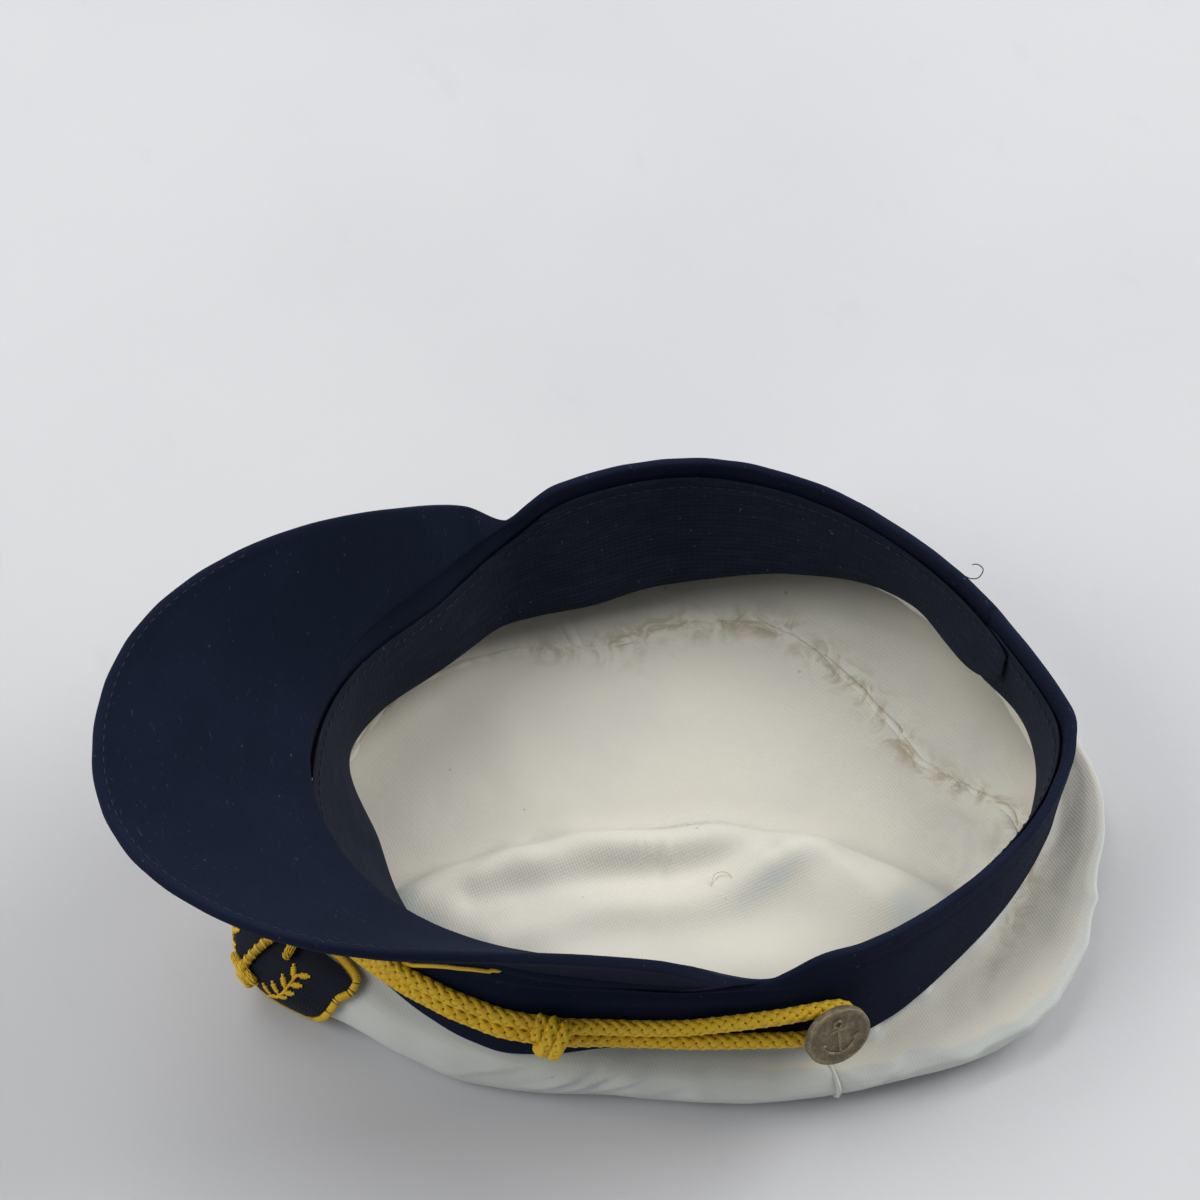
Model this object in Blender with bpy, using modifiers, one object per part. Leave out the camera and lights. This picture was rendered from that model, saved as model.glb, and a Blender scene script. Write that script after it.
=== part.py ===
"""Yachting cap with a navy band, a white soft crown and a stiff peak, lying upside down.

The cap rests on its crown, its opening up (+Z), its peak to the front (-Y). A place round the
cap is a bearing in degrees: 0 at the front, 90 at the +X side, 180 at the back. Lengths are
metres. The tables hold shares of the named sizes.
"""
import math

import bmesh
import bpy
import numpy as np
from mathutils import Matrix, Vector

# Head opening and band.
HEAD_LENGTH = 0.197
HEAD_WIDTH = 0.171
RIM_HEIGHT = 0.050
BAND_HEIGHT = 0.036
FRONT_RISE = 0.06
BAND_WALL = 0.0020
RIM_THICKNESS = 0.0030
FOLD_DEPTH = 0.009

# Sweatband.
SWEAT_WALL = 0.0012
SEW_DEPTH = 0.005
SWEAT_WIDTH = 0.033
OVERLAP = 8.0
OVERLAP_BEARING = 173.0
LAP_FADE = 30.0
TAB_ROUND = 0.008

# Crown.
CROWN_WALL = 0.0015
CROWN_PUFF = 0.026
CROWN_LIFT = 0.012
TUCK = 0.004
SIDE_SEAM = 90.0
RIDGE_HEIGHT = 0.011
RIDGE_WIDTH = 0.080

# Peak.
PEAK_REACH = 0.055
PEAK_RISE = 0.0365
PEAK_THICKNESS = 0.003
PEAK_ROOT = 0.0052
ROOT_REACH = 0.020
PEAK_END = 82.0
HORN_CLEAR = 3.0
HORN_FADE = 14.0
LINE_WIRE = 0.0012
LINE_END = 43.5
LINE_CLEAR = 0.0018

# Chin cord, its knots and its buttons.
CORD_DIAMETER = 0.0044
CORD_CLEAR = 0.0005
KNOT_LENGTH = 0.0115
KNOT_HEIGHT = 0.0125
KNOT_BEARING = 45.0
BUTTON_BEARING = 90.0
BUTTON_HEIGHT = 0.0135
FAR_DROP = 0.0055
BUTTON_DIAMETER = 0.0175
BUTTON_THICKNESS = 0.0022
BUTTON_TILT = 15.0
SHANK_DIAMETER = 0.0070

# Badge.
BADGE_WIDTH = 0.040
BADGE_TURN = 1.5
BADGE_WALL = 0.0010
BADGE_CLEAR = 0.0005
BORDER_WIRE = 0.0022
ANCHOR_HEIGHT = 0.0155
ANCHOR_BAR = 0.0016
EMBOSS_BAR = 0.0008

GAP = 0.0003
THIN_SIDES = 6
STATIONS = 48
SEAM_GAP = 0.00045
TIP_EDGE = 0.97
TIP_RINGS = 9
TIP_HUB = (-0.20, 0.0)
CROWN_SHARES = (0.0, 0.125, 0.18, 0.25, 0.32, 0.375, 0.44, 0.50, 0.56, 0.625, 0.70, 0.75, 1.0)

# Each row is a section of the cap at one bearing.
# rim: share of the head oval's radius; foot: band's foot outside its rim, share of BAND_HEIGHT;
# swell: crown outside the foot, share of CROWN_PUFF; lift: height of that swell, share of
# CROWN_LIFT; seam: tip's seam, share of the oval; hem: lean of the sweatband away from the band
# and drop: its width downwards, shares of SWEAT_WIDTH.
SECTION_COLUMNS = ("bearing", "rim", "foot", "swell", "lift", "seam", "hem", "drop")
SECTIONS = (
    (0, 1.035, 0.08, 0.70, 1.10, 1.06, 0.62, 1.08),
    (15, 1.026, 0.00, 0.34, 0.95, 1.01, 0.45, 1.08),
    (30, 0.997, 0.11, 0.17, 0.75, 0.97, 0.31, 1.05),
    (40, 0.970, 0.16, 0.06, 0.70, 0.96, 0.26, 1.05),
    (50, 0.947, 0.02, 0.20, 0.65, 0.95, 0.14, 1.05),
    (75, 0.957, 0.01, 0.36, 0.65, 1.00, 0.16, 1.00),
    (95, 1.003, 0.08, 0.40, 0.70, 1.03, 0.36, 1.00),
    (120, 1.033, -0.05, 1.00, 0.90, 1.08, 0.20, 0.90),
    (145, 1.088, -0.11, 0.62, 0.85, 1.00, 0.03, 0.75),
    (157, 1.098, -0.05, 0.40, 0.85, 0.95, 0.09, 0.70),
    (168, 1.012, 0.10, 0.36, 0.85, 0.74, 0.02, 0.66),
    (180, 0.972, 0.14, 0.25, 0.85, 0.70, 0.16, 0.62),
    (200, 0.953, 0.22, 0.30, 0.88, 0.71, 0.12, 0.64),
    (225, 1.008, 0.14, 0.48, 0.90, 0.79, 0.36, 0.80),
    (240, 1.038, 0.10, 0.60, 0.90, 0.77, 0.48, 0.92),
    (270, 0.998, 0.08, 0.42, 0.70, 0.75, 0.43, 1.00),
    (285, 0.975, 0.06, 0.38, 0.68, 0.86, 0.21, 1.04),
    (300, 0.940, 0.04, 0.34, 0.65, 0.95, 0.14, 1.05),
    (330, 0.997, 0.10, 0.14, 0.80, 1.00, 0.15, 1.05),
    (345, 1.026, 0.05, 0.34, 1.00, 1.03, 0.50, 1.08),
)

# Each row is a section of the peak, the same on both sides of the front.
# sink: joint below the rim's plane, share of PEAK_THICKNESS; reach: share of PEAK_REACH;
# rise: share of PEAK_RISE.
PEAK_COLUMNS = ("bearing", "sink", "reach", "rise")
PEAK_SECTIONS = (
    (0, 0.0, 1.00, 1.00),
    (20, 0.1, 0.81, 1.06),
    (40, 0.2, 0.43, 0.89),
    (60, 1.0, 0.21, 0.56),
    (74, 1.3, 0.12, 0.22),
    (82, 1.4, 0.03, 0.03),
)

# Each row is a line of the fold in the tip: its distance from the fold's foot as a share of
# RIDGE_WIDTH, and its height as a share of RIDGE_HEIGHT.
FOLD_LINES = ((0.0, 0.0), (0.09, 0.75), (0.17, 1.0), (0.30, 0.72), (0.42, 0.60), (0.56, 0.80),
              (0.72, 0.70), (1.0, 0.0))
RIDGE_CENTRE = (0.685, -0.280)
RIDGE_RADIUS = 0.740

# Each row is a place on the two strands of the chin cord: their heights above the band's foot
# as shares of BAND_HEIGHT.
STRAND_COLUMNS = ("bearing", "upper", "lower")
STRANDS = ((0, 0.40, 0.26), (17, 0.48, 0.33), (26, 0.61, 0.38), (35, 0.61, 0.37),
           (41, 0.54, 0.335), (45, 0.46, 0.30), (51, 0.41, 0.25), (62, 0.40, 0.23),
           (76, 0.48, 0.24))

# Each row is a place on the badge's outline: along the crown's profile as a share of it, and
# its width there as a share of BADGE_WIDTH.
BADGE_OUTLINE = ((0.29, 0.70), (0.34, 1.00), (0.41, 0.93), (0.48, 0.90), (0.56, 0.80), (0.62, 0.66))

COLOURS = {
    "navy": ((0.010, 0.014, 0.045, 1.0), 0.85, 0.0),
    "lining": ((0.008, 0.011, 0.020, 1.0), 0.90, 0.0),
    "white": ((0.62, 0.62, 0.57, 1.0), 0.90, 0.0),
    "gold": ((0.62, 0.40, 0.012, 1.0), 0.70, 0.0),
    "pewter": ((0.16, 0.135, 0.085, 1.0), 0.42, 0.9),
}


def clear_scene():
    for obj in list(bpy.data.objects):
        bpy.data.objects.remove(obj, do_unlink=True)


def smooth(knots, values, x):
    """Cubic through the knots, each with the slope of its neighbours."""
    knots, values = np.array(knots, float), np.array(values, float)
    slopes = np.gradient(values, knots)
    i = np.clip(np.searchsorted(knots, x) - 1, 0, len(knots) - 2)
    step = knots[i + 1] - knots[i]
    t = (x - knots[i]) / step
    start = (1 + 2 * t) * (1 - t) ** 2 * values[i] + t * (1 - t) ** 2 * step * slopes[i]
    return start + t * t * (3 - 2 * t) * values[i + 1] + t * t * (t - 1) * step * slopes[i + 1]


def section(column, bearing):
    """A column of SECTIONS at any bearing, running on round the cap."""
    k = SECTION_COLUMNS.index(column)
    rows = [(row[0] + turn, row[k]) for turn in (-360, 0, 360) for row in SECTIONS]
    return float(smooth(*zip(*rows), bearing % 360))


def mirrored(table, columns, column, bearing):
    """A column of a table that is the same on both sides of the front."""
    k = columns.index(column)
    rows = [(-row[0], row[k]) for row in reversed(table) if row[0]] + [(r[0], r[k]) for r in table]
    bearing = (bearing + 180) % 360 - 180
    return float(smooth(*zip(*rows), max(rows[0][0], min(rows[-1][0], bearing))))


def spot(radius, bearing, height):
    angle = math.radians(bearing)
    return Vector((radius * math.sin(angle), -radius * math.cos(angle), height))


def stations(start, end):
    """Bearings of the sections from one bearing to another, the same all round the cap."""
    step = 360 / STATIONS
    first, last = math.ceil(start / step + 0.2), math.floor(end / step - 0.2)
    return [start] + [k * step for k in range(first, last + 1)] + [end]


def oval(bearing):
    """Radius of the head oval."""
    angle = math.radians(bearing)
    return 1 / math.hypot(math.sin(angle) * 2 / HEAD_WIDTH, math.cos(angle) * 2 / HEAD_LENGTH)


def rim_radius(bearing):
    return oval(bearing) * section("rim", bearing)


def foot_radius(bearing):
    return rim_radius(bearing) + BAND_HEIGHT * section("foot", bearing)


def tilted(height, radius, bearing):
    """A height in the cap's own plane, which rises to the front."""
    return height + FRONT_RISE * radius * math.cos(math.radians(bearing))


def foot_height(bearing):
    return tilted(RIM_HEIGHT - BAND_HEIGHT, foot_radius(bearing), bearing)


def peak_joint(bearing):
    """Inner edge of the peak's inner face, as (radius, height)."""
    radius = rim_radius(bearing) - RIM_THICKNESS - GAP - SWEAT_WALL
    sink = mirrored(PEAK_SECTIONS, PEAK_COLUMNS, "sink", bearing) * PEAK_THICKNESS
    return radius, tilted(RIM_HEIGHT, radius, bearing) - sink


def peak_edge(bearing):
    """Free edge of the peak's inner face, as (radius, height)."""
    radius, height = peak_joint(bearing)
    reach = mirrored(PEAK_SECTIONS, PEAK_COLUMNS, "reach", bearing) * PEAK_REACH
    rise = mirrored(PEAK_SECTIONS, PEAK_COLUMNS, "rise", bearing) * PEAK_RISE
    return radius + reach, height + rise


def peak_depth(bearing, share):
    """Thickness of the peak, more near its joint and less towards its horns."""
    (r0, z0), (r1, z1) = peak_joint(bearing), peak_edge(bearing)
    away = share * math.hypot(r1 - r0, z1 - z0) / ROOT_REACH
    horn = min(1.0, (PEAK_END - abs(bearing)) / HORN_FADE)
    return PEAK_THICKNESS + (PEAK_ROOT - PEAK_THICKNESS) * max(0.0, 1 - max(0.0, away)) * horn


def peak_point(bearing, share, depth=0.0):
    """Point on the peak, share 0 at its joint and 1 at its free edge, depth below its inner face."""
    (r0, z0), (r1, z1) = peak_joint(bearing), peak_edge(bearing)
    slope = math.atan2(z1 - z0, r1 - r0)
    radius = r0 + (r1 - r0) * share + depth * math.sin(slope)
    return spot(radius, bearing, z0 + (z1 - z0) * share - depth * math.cos(slope))


def peak_under(bearing, radius):
    """Height of the peak's outer face at a radius, and its share there."""
    low, high = -0.5, 1.0
    for _ in range(24):
        share = (low + high) / 2
        point = peak_point(bearing, share, peak_depth(bearing, share))
        low, high = (share, high) if math.hypot(point.x, point.y) < radius else (low, share)
    return point.z, share


def rim_height(bearing, inset=0.0):
    """Top of the band at a depth into its wall: level, but cut by the peak where that covers it."""
    radius = rim_radius(bearing)
    plane = tilted(RIM_HEIGHT, radius, bearing)
    side = (bearing + 180) % 360 - 180
    if abs(side) > PEAK_END + HORN_CLEAR:
        return plane
    side = max(-PEAK_END, min(PEAK_END, side))
    (r0, z0), (r1, z1) = peak_joint(side), peak_edge(side)
    slope = math.atan2(z1 - z0, r1 - r0)
    return min(plane, peak_under(side, rim_radius(side) - inset)[0] - GAP / math.cos(slope))


def band_wall(bearing, height):
    """Radius of the band's outer face at a height."""
    low, high = foot_height(bearing), tilted(RIM_HEIGHT, rim_radius(bearing), bearing)
    share = (height - low) / (high - low)
    return foot_radius(bearing) + share * (rim_radius(bearing) - foot_radius(bearing))


def new_object(name, mesh_or_curve, colour, collection):
    obj = bpy.data.objects.new(name, mesh_or_curve)
    obj.data.materials.clear()
    obj.data.materials.append(finish(name, colour))
    collection.objects.link(obj)
    return obj


def finish(name, colour):
    rgba, roughness, metallic = COLOURS[colour]
    material = bpy.data.materials.new(name)
    material.use_nodes = True
    shader = material.node_tree.nodes["Principled BSDF"]
    shader.inputs["Base Color"].default_value = rgba
    shader.inputs["Roughness"].default_value = roughness
    shader.inputs["Metallic"].default_value = metallic
    material.diffuse_color = rgba
    return material


def loft(name, rows, closed_along=False, closed_across=False, hub=None, ends=False):
    """Mesh through rows of points. Closed ways join their last points to their first ones."""
    mesh = bpy.data.meshes.new(name)
    count, width = len(rows), len(rows[0])
    points = [tuple(p) for row in rows for p in row]
    faces = []
    for i in range(count if closed_across else count - 1):
        for j in range(width if closed_along else width - 1):
            a, b = i * width, ((i + 1) % count) * width
            k = (j + 1) % width
            faces.append((a + j, a + k, b + k, b + j))
    if hub is not None:
        points.append(tuple(hub))
        last = (count - 1) * width
        faces += [(last + j, last + (j + 1) % width, len(points) - 1) for j in range(width)]
    if ends:
        faces += [tuple(range(width)), tuple(range((count - 1) * width, count * width))]
    mesh.from_pydata(points, [], faces)
    return mesh


def shade(mesh):
    mesh.shade_smooth()
    mesh.set_sharp_from_angle(angle=math.radians(40))


def solidify(obj, wall):
    """Give a surface its wall, on the side away from its faces."""
    modifier = obj.modifiers.new("wall", "SOLIDIFY")
    modifier.thickness = wall
    modifier.offset = -1
    modifier.use_even_offset = True
    shade(obj.data)


def outward(mesh):
    shape = bmesh.new()
    shape.from_mesh(mesh)
    bmesh.ops.recalc_face_normals(shape, faces=shape.faces)
    shape.to_mesh(mesh)
    shape.free()


def tube(name, points, diameter, colour, collection, cyclic=False, sides=8):
    curve = bpy.data.curves.new(name, "CURVE")
    curve.dimensions = "3D"
    curve.bevel_depth = diameter / 2
    curve.bevel_resolution = sides // 2 - 2
    curve.use_fill_caps = not cyclic
    spline = curve.splines.new("POLY")
    spline.points.add(len(points) - 1)
    spline.use_cyclic_u = cyclic
    for point, place in zip(spline.points, points):
        point.co = (*place, 1.0)
    return new_object(name, curve, colour, collection)


def as_mesh(obj):
    """Turn an object with its modifiers, or a curve, into a plain closed mesh."""
    bpy.context.view_layer.update()
    evaluated = obj.evaluated_get(bpy.context.evaluated_depsgraph_get())
    mesh = bpy.data.meshes.new_from_object(evaluated)
    shape = bmesh.new()
    shape.from_mesh(mesh)
    bmesh.ops.remove_doubles(shape, verts=shape.verts, dist=0.00001)
    bmesh.ops.recalc_face_normals(shape, faces=shape.faces)
    shape.to_mesh(mesh)
    shape.free()
    return mesh


def plain(obj):
    """Replace an object by its plain mesh, with the same name, place and material."""
    mesh, name, material = as_mesh(obj), obj.name, obj.data.materials[0]
    collection, place = obj.users_collection[0], obj.matrix_world.copy()
    bpy.data.objects.remove(obj, do_unlink=True)
    mesh.materials.clear()
    mesh.materials.append(material)
    fresh = bpy.data.objects.new(name, mesh)
    collection.objects.link(fresh)
    fresh.matrix_world = place
    return fresh


def fuse(base, others):
    """Join solids into the first one, which stays."""
    for other in others:
        modifier = base.modifiers.new("join", "BOOLEAN")
        modifier.operation = "UNION"
        modifier.solver = "EXACT"
        modifier.object = other
        base = plain(base)
        bpy.data.objects.remove(other, do_unlink=True)
    return base


def band(collection):
    """Navy outer wall, folded over at the rim."""
    sections = []
    for bearing in stations(0, 360)[:-1]:
        foot_z, top, inner = foot_height(bearing), rim_height(bearing), rim_height(bearing, RIM_THICKNESS)
        half = RIM_THICKNESS / 2
        heights = np.linspace(foot_z, top - half, 5)
        profile = [(band_wall(bearing, z), z) for z in heights]
        for across in (0.15, 0.5, 0.85, 1.0):
            inset = across * RIM_THICKNESS
            drop = half - math.sqrt(max(0.0, half ** 2 - (inset - half) ** 2))
            height = rim_height(bearing, inset) - drop
            profile.append((band_wall(bearing, height) - inset, height))
        fold = inner - FOLD_DEPTH
        profile.append((band_wall(bearing, fold) - RIM_THICKNESS, fold))
        lower = fold - (RIM_THICKNESS - BAND_WALL)
        profile += [(band_wall(bearing, z) - BAND_WALL, z) for z in np.linspace(lower, foot_z, 3)]
        sections.append([spot(r, bearing, z) for r, z in profile])
    mesh = loft("band", sections, closed_along=True, closed_across=True)
    outward(mesh)
    shade(mesh)
    return new_object("band", mesh, "navy", collection)


def sweatband(collection):
    """Inner strip, sewn below the fold, open at the back where its rounded end laps over."""
    layer = SWEAT_WALL + GAP
    columns = []
    last = OVERLAP_BEARING + OVERLAP
    for bearing in reversed(stations(last - 360 - OVERLAP, last)):
        left = bearing - (last - 360 - OVERLAP)
        inset = RIM_THICKNESS + GAP + layer * max(0.0, 1 - left / LAP_FADE)
        top = rim_height(bearing, RIM_THICKNESS) - SEW_DEPTH
        sewn = tilted(RIM_HEIGHT - SEW_DEPTH, rim_radius(bearing), bearing)
        hem = sewn - SWEAT_WIDTH * section("drop", bearing)
        lean = SWEAT_WIDTH * section("hem", bearing)
        away = math.radians(left) * rim_radius(bearing)
        if away < TAB_ROUND:
            hem += TAB_ROUND - math.sqrt(TAB_ROUND ** 2 - (TAB_ROUND - away) ** 2)
        column = []
        for share in np.linspace(0, 1, 5):
            height = top + (hem - top) * share
            radius = band_wall(bearing, height) - inset - lean * share ** 1.3
            column.append(spot(radius, bearing, height))
        columns.append(column)
    mesh = loft("sweatband", columns)
    mesh.flip_normals()
    obj = new_object("sweatband", mesh, "lining", collection)
    solidify(obj, SWEAT_WALL)
    return obj


def crown_profile(bearing):
    """Outer face of the crown's side, from its tuck behind the band to the tip's seam."""
    foot_r, foot_z = foot_radius(bearing), foot_height(bearing)
    inside = foot_r - BAND_WALL - GAP
    puff, lift = section("swell", bearing) * CROWN_PUFF, section("lift", bearing) * CROWN_LIFT
    seam = oval(bearing) * section("seam", bearing)
    under = foot_z - GAP - CROWN_WALL
    wide, tuck = foot_r + puff, foot_z + TUCK
    shoulder = lift + 0.55 * (under - lift) + 0.15 * lift
    rest = wide - 0.45 * lift
    return [(band_wall(bearing, tuck) - BAND_WALL - GAP, tuck), (inside, foot_z - GAP),
            (foot_r + 0.12 * puff, under), (foot_r + 0.62 * puff, shoulder), (wide, lift),
            (wide - 0.06 * lift, 0.45 * lift), (rest, 0.0), ((rest + seam) / 2, 0.0),
            (seam + GAP / 2, 0.0)]


def crown_point(bearing, share):
    """Point on the crown's outer face, share 0 at the tuck and 1 at the tip's seam."""
    knots = crown_profile(bearing)
    steps = np.linspace(0, 1, len(knots))
    radius, height = (float(smooth(steps, [k[i] for k in knots], share)) for i in (0, 1))
    return spot(radius, bearing, max(height, 0.0))


def crown_side(name, start, end, collection):
    """Side panel of the crown, from one side seam to the other."""
    gap = math.degrees(SEAM_GAP / 2 / oval(SIDE_SEAM))
    bearings = stations(start, end)
    bearings[0], bearings[-1] = start + gap, end - gap
    rows = [[crown_point(b, s) for s in CROWN_SHARES] for b in bearings]
    obj = new_object(name, loft(name, rows), "white", collection)
    solidify(obj, CROWN_WALL)
    return obj


def fold_height(point):
    """Height of the fold that stands in the tip, from its plan position."""
    centre = Vector((RIDGE_CENTRE[0] * HEAD_WIDTH, RIDGE_CENTRE[1] * HEAD_LENGTH))
    across = RIDGE_RADIUS * HEAD_WIDTH - (Vector(point[:2]) - centre).length
    share = across / RIDGE_WIDTH
    if not 0 < share < 1:
        return 0.0
    return max(0.0, float(smooth(*zip(*FOLD_LINES), share))) * RIDGE_HEIGHT


def crown_tip(collection):
    """Flat top panel of the crown, here the floor, with the long fold across it."""
    rows = []
    bearings = stations(-SIDE_SEAM, SIDE_SEAM)[:-1] + stations(SIDE_SEAM, 360 - SIDE_SEAM)[:-1]
    hub = Vector((TIP_HUB[0] * HEAD_WIDTH, TIP_HUB[1] * HEAD_LENGTH, 0))
    for share in [1.0] + list(np.linspace(TIP_EDGE, 0.07, TIP_RINGS)):
        row = []
        for bearing in bearings:
            edge = spot(oval(bearing) * section("seam", bearing) - GAP / 2, bearing, 0.0)
            point = hub + (edge - hub) * share
            fade = min(1.0, max(0.0, TIP_EDGE - share) / 0.2)
            point.z = fold_height(point) * fade * fade * (3 - 2 * fade)
            row.append(point)
        rows.append(row)
    mesh = loft("crown_tip", rows, closed_along=True, hub=hub)
    mesh.flip_normals()
    obj = new_object("crown_tip", mesh, "white", collection)
    solidify(obj, CROWN_WALL)
    return obj


def peak(collection):
    """Stiff visor, thicker where it is sewn in."""
    shares = np.linspace(0, 1, 6)
    rows = []
    for bearing in np.linspace(-PEAK_END, PEAK_END, 33):
        inner = [peak_point(bearing, s) for s in shares]
        outer = [peak_point(bearing, s, peak_depth(bearing, s)) for s in reversed(shares)]
        rows.append(inner + outer)
    mesh = loft("peak", rows, closed_along=True, ends=True)
    outward(mesh)
    shade(mesh)
    return new_object("peak", mesh, "navy", collection)


def peak_line(collection):
    """Gold line on the peak's outer face, from one horn round to the other."""
    places = []
    for bearing in np.linspace(-LINE_END, LINE_END, 25):
        _, share = peak_under(bearing, rim_radius(bearing) + LINE_CLEAR)
        depth = peak_depth(bearing, share) + GAP + LINE_WIRE / 2
        places.append(peak_point(bearing, share, depth))
    return plain(tube("peak_line", places, LINE_WIRE, "gold", collection, sides=THIN_SIDES))


def band_point(bearing, height, off):
    """Point off the band's outer face by a distance, at a height above its foot."""
    z = foot_height(bearing) + height
    return spot(band_wall(bearing, z) + off, bearing, z)


def button_height(bearing):
    """Height of a button's post above the band's foot. The far one sits lower."""
    return BUTTON_HEIGHT - (FAR_DROP if bearing < 0 else 0.0)


def strand(bearing, column):
    """Centre of one strand of the chin cord, which ends beside the button's post."""
    beside = SHANK_DIAMETER / 2 + CORD_CLEAR + CORD_DIAMETER / 2
    end = [(button_height(bearing) + side * beside) / BAND_HEIGHT for side in (1, -1)]
    table = STRANDS + ((BUTTON_BEARING, *end),)
    height = BAND_HEIGHT * mirrored(table, STRAND_COLUMNS, column, bearing)
    return band_point(bearing, height, CORD_CLEAR + CORD_DIAMETER / 2)


def loop_round(side):
    """Centres of the cord's turn round a button's post, from the upper strand to the lower one."""
    upper, lower = (strand(side * BUTTON_BEARING, column) for column in ("upper", "lower"))
    middle, half = (upper + lower) / 2, (upper - lower) / 2
    angle = math.radians(side * BUTTON_BEARING)
    ahead = Vector((math.cos(angle), math.sin(angle), 0)) * side * half.length
    out = Vector((math.sin(angle), -math.cos(angle), 0))
    turn = []
    for degrees in (30, 60, 90, 120, 150):
        turned = math.radians(degrees)
        place = middle + half * math.cos(turned) + ahead * math.sin(turned)
        along = math.degrees(math.atan2(place.x, -place.y))
        gone = place.x * out.x + place.y * out.y
        wall = band_wall(along, place.z) + CORD_CLEAR + CORD_DIAMETER / 2
        flat = math.hypot(place.x, place.y)
        turn.append(place + out * max(0.0, wall - flat) if gone > 0 else place)
    return turn


def knot(bearing, collection):
    """Tied knot that holds the two strands together."""
    centre = (strand(bearing, "upper") + strand(bearing, "lower")) / 2
    mesh = bpy.data.meshes.new("knot")
    shape = bmesh.new()
    bmesh.ops.create_uvsphere(shape, u_segments=10, v_segments=6, radius=0.5)
    depth = CORD_DIAMETER + 2 * GAP
    stretch = Matrix.Diagonal((depth * 1.5, KNOT_LENGTH, KNOT_HEIGHT, 1))
    bmesh.ops.transform(shape, matrix=stretch, verts=shape.verts)
    shape.to_mesh(mesh)
    shape.free()
    obj = new_object("knot", mesh, "gold", collection)
    out = Vector((math.sin(math.radians(bearing)), -math.cos(math.radians(bearing)), 0))
    obj.matrix_world = Matrix.Translation(centre + out * depth * 0.35) @ Matrix.Rotation(
        math.radians(bearing - 90), 4, "Z")
    return obj


def chin_cord(collection):
    """Both strands of the cord, one closed loop round the two buttons, with its two knots."""
    bearings = np.linspace(-BUTTON_BEARING, BUTTON_BEARING, 29)
    upper = [strand(b, "upper") for b in bearings]
    lower = [strand(b, "lower") for b in reversed(bearings)]
    route = upper + loop_round(1) + lower + list(reversed(loop_round(-1)))
    cord = plain(tube("chin_cord", route, CORD_DIAMETER, "gold", collection, cyclic=True))
    return fuse(cord, [knot(b, collection) for b in (KNOT_BEARING, -KNOT_BEARING)])


def anchor_solid(name, height, bar, place, steps, collection):
    """Plain anchor as one solid; place(across, up) gives the point for a spot of its drawing."""
    arc = [math.radians(a) for a in range(200, 341, 20)]
    lines = [
        ([(0, y) for y in np.linspace(-0.5, 0.34, 2 * steps)], False),
        ([(x, 0.24) for x in np.linspace(-0.24, 0.24, steps + 1)], False),
        ([(0.40 * math.cos(a), -0.10 + 0.40 * math.sin(a)) for a in arc], False),
        ([(0.09 * math.cos(a), 0.42 + 0.09 * math.sin(a))
          for a in np.linspace(0, 2 * math.pi, 9)[:-1]], True),
    ]
    bars = []
    for i, (line, cyclic) in enumerate(lines):
        points = [place(x * height, y * height) for x, y in line]
        bars.append(plain(tube(f"{name}_{i}", points, bar, "gold", collection, cyclic, THIN_SIDES)))
    solid = fuse(bars[0], bars[1:])
    solid.name = name
    return solid


def button(name, side, collection):
    """Domed metal disc with a rolled edge, a short post into the band and a raised anchor."""
    radius, post = BUTTON_DIAMETER / 2, SHANK_DIAMETER / 2
    reach = CORD_CLEAR + CORD_DIAMETER + CORD_CLEAR
    top = reach + BUTTON_THICKNESS
    profile = [(0, top), (0.55 * radius, top - 0.0002), (0.86 * radius, top - 0.0005),
               (0.93 * radius, top), (radius, top - 0.0005), (radius, reach + 0.0005),
               (0.94 * radius, reach), (post, reach), (post, GAP), (0, GAP)]
    mesh = bpy.data.meshes.new(name)
    mesh.from_pydata([(r, 0, z) for r, z in profile], [(i, i + 1) for i in range(9)], [])
    obj = new_object(name, mesh, "pewter", collection)
    turn = obj.modifiers.new("turn", "SCREW")
    turn.axis = "Z"
    turn.steps = turn.render_steps = 24
    turn.use_merge_vertices = True
    turn.merge_threshold = 0.00005
    turn.use_normal_calculate = True
    obj = plain(obj)
    face = top - 0.0003
    emblem = anchor_solid(name + "_anchor", BUTTON_DIAMETER * 0.62, EMBOSS_BAR,
                          lambda x, y: Vector((x, y, face)), 1, collection)
    obj = fuse(obj, [emblem])
    bearing = side * BUTTON_BEARING
    tilt = Matrix.Rotation(math.radians(90 - BUTTON_TILT), 4, "Y")
    turned = Matrix.Rotation(math.radians(bearing - 90), 4, "Z")
    lean = post * math.sin(math.radians(BUTTON_TILT))
    seat = band_point(bearing, button_height(bearing), lean + CORD_CLEAR)
    obj.data.transform(turned @ tilt @ Matrix.Rotation(math.radians(90), 4, "Z"))
    obj.matrix_world = Matrix.Translation(seat)
    return obj


def crown_normal(bearing, share):
    step = 0.01
    along = crown_point(bearing, share + step) - crown_point(bearing, share - step)
    across = crown_point(bearing + 1, share) - crown_point(bearing - 1, share)
    return along.cross(across).normalized()


def off_crown(bearing, share, off):
    return crown_point(bearing, share) + crown_normal(bearing, share) * off


def badge_point(across, along, off):
    """Point on the badge, a distance across from its middle and a share along the crown's profile."""
    return off_crown(BADGE_TURN + math.degrees(across / foot_radius(0)), along, off)


def badge_half(along):
    return float(smooth(*zip(*BADGE_OUTLINE), along)) * BADGE_WIDTH / 2


def badge_ground(collection):
    """Embroidered ground of the badge, a curved patch on the crown's front."""
    start, end = BADGE_OUTLINE[0][0], BADGE_OUTLINE[-1][0]
    rows = [[badge_point(across * badge_half(along), along, BADGE_CLEAR + BADGE_WALL)
             for along in np.linspace(start, end, 9)] for across in np.linspace(-1, 1, 7)]
    obj = new_object("badge_ground", loft("badge_ground", rows), "lining", collection)
    solidify(obj, BADGE_WALL)
    return obj


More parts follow.
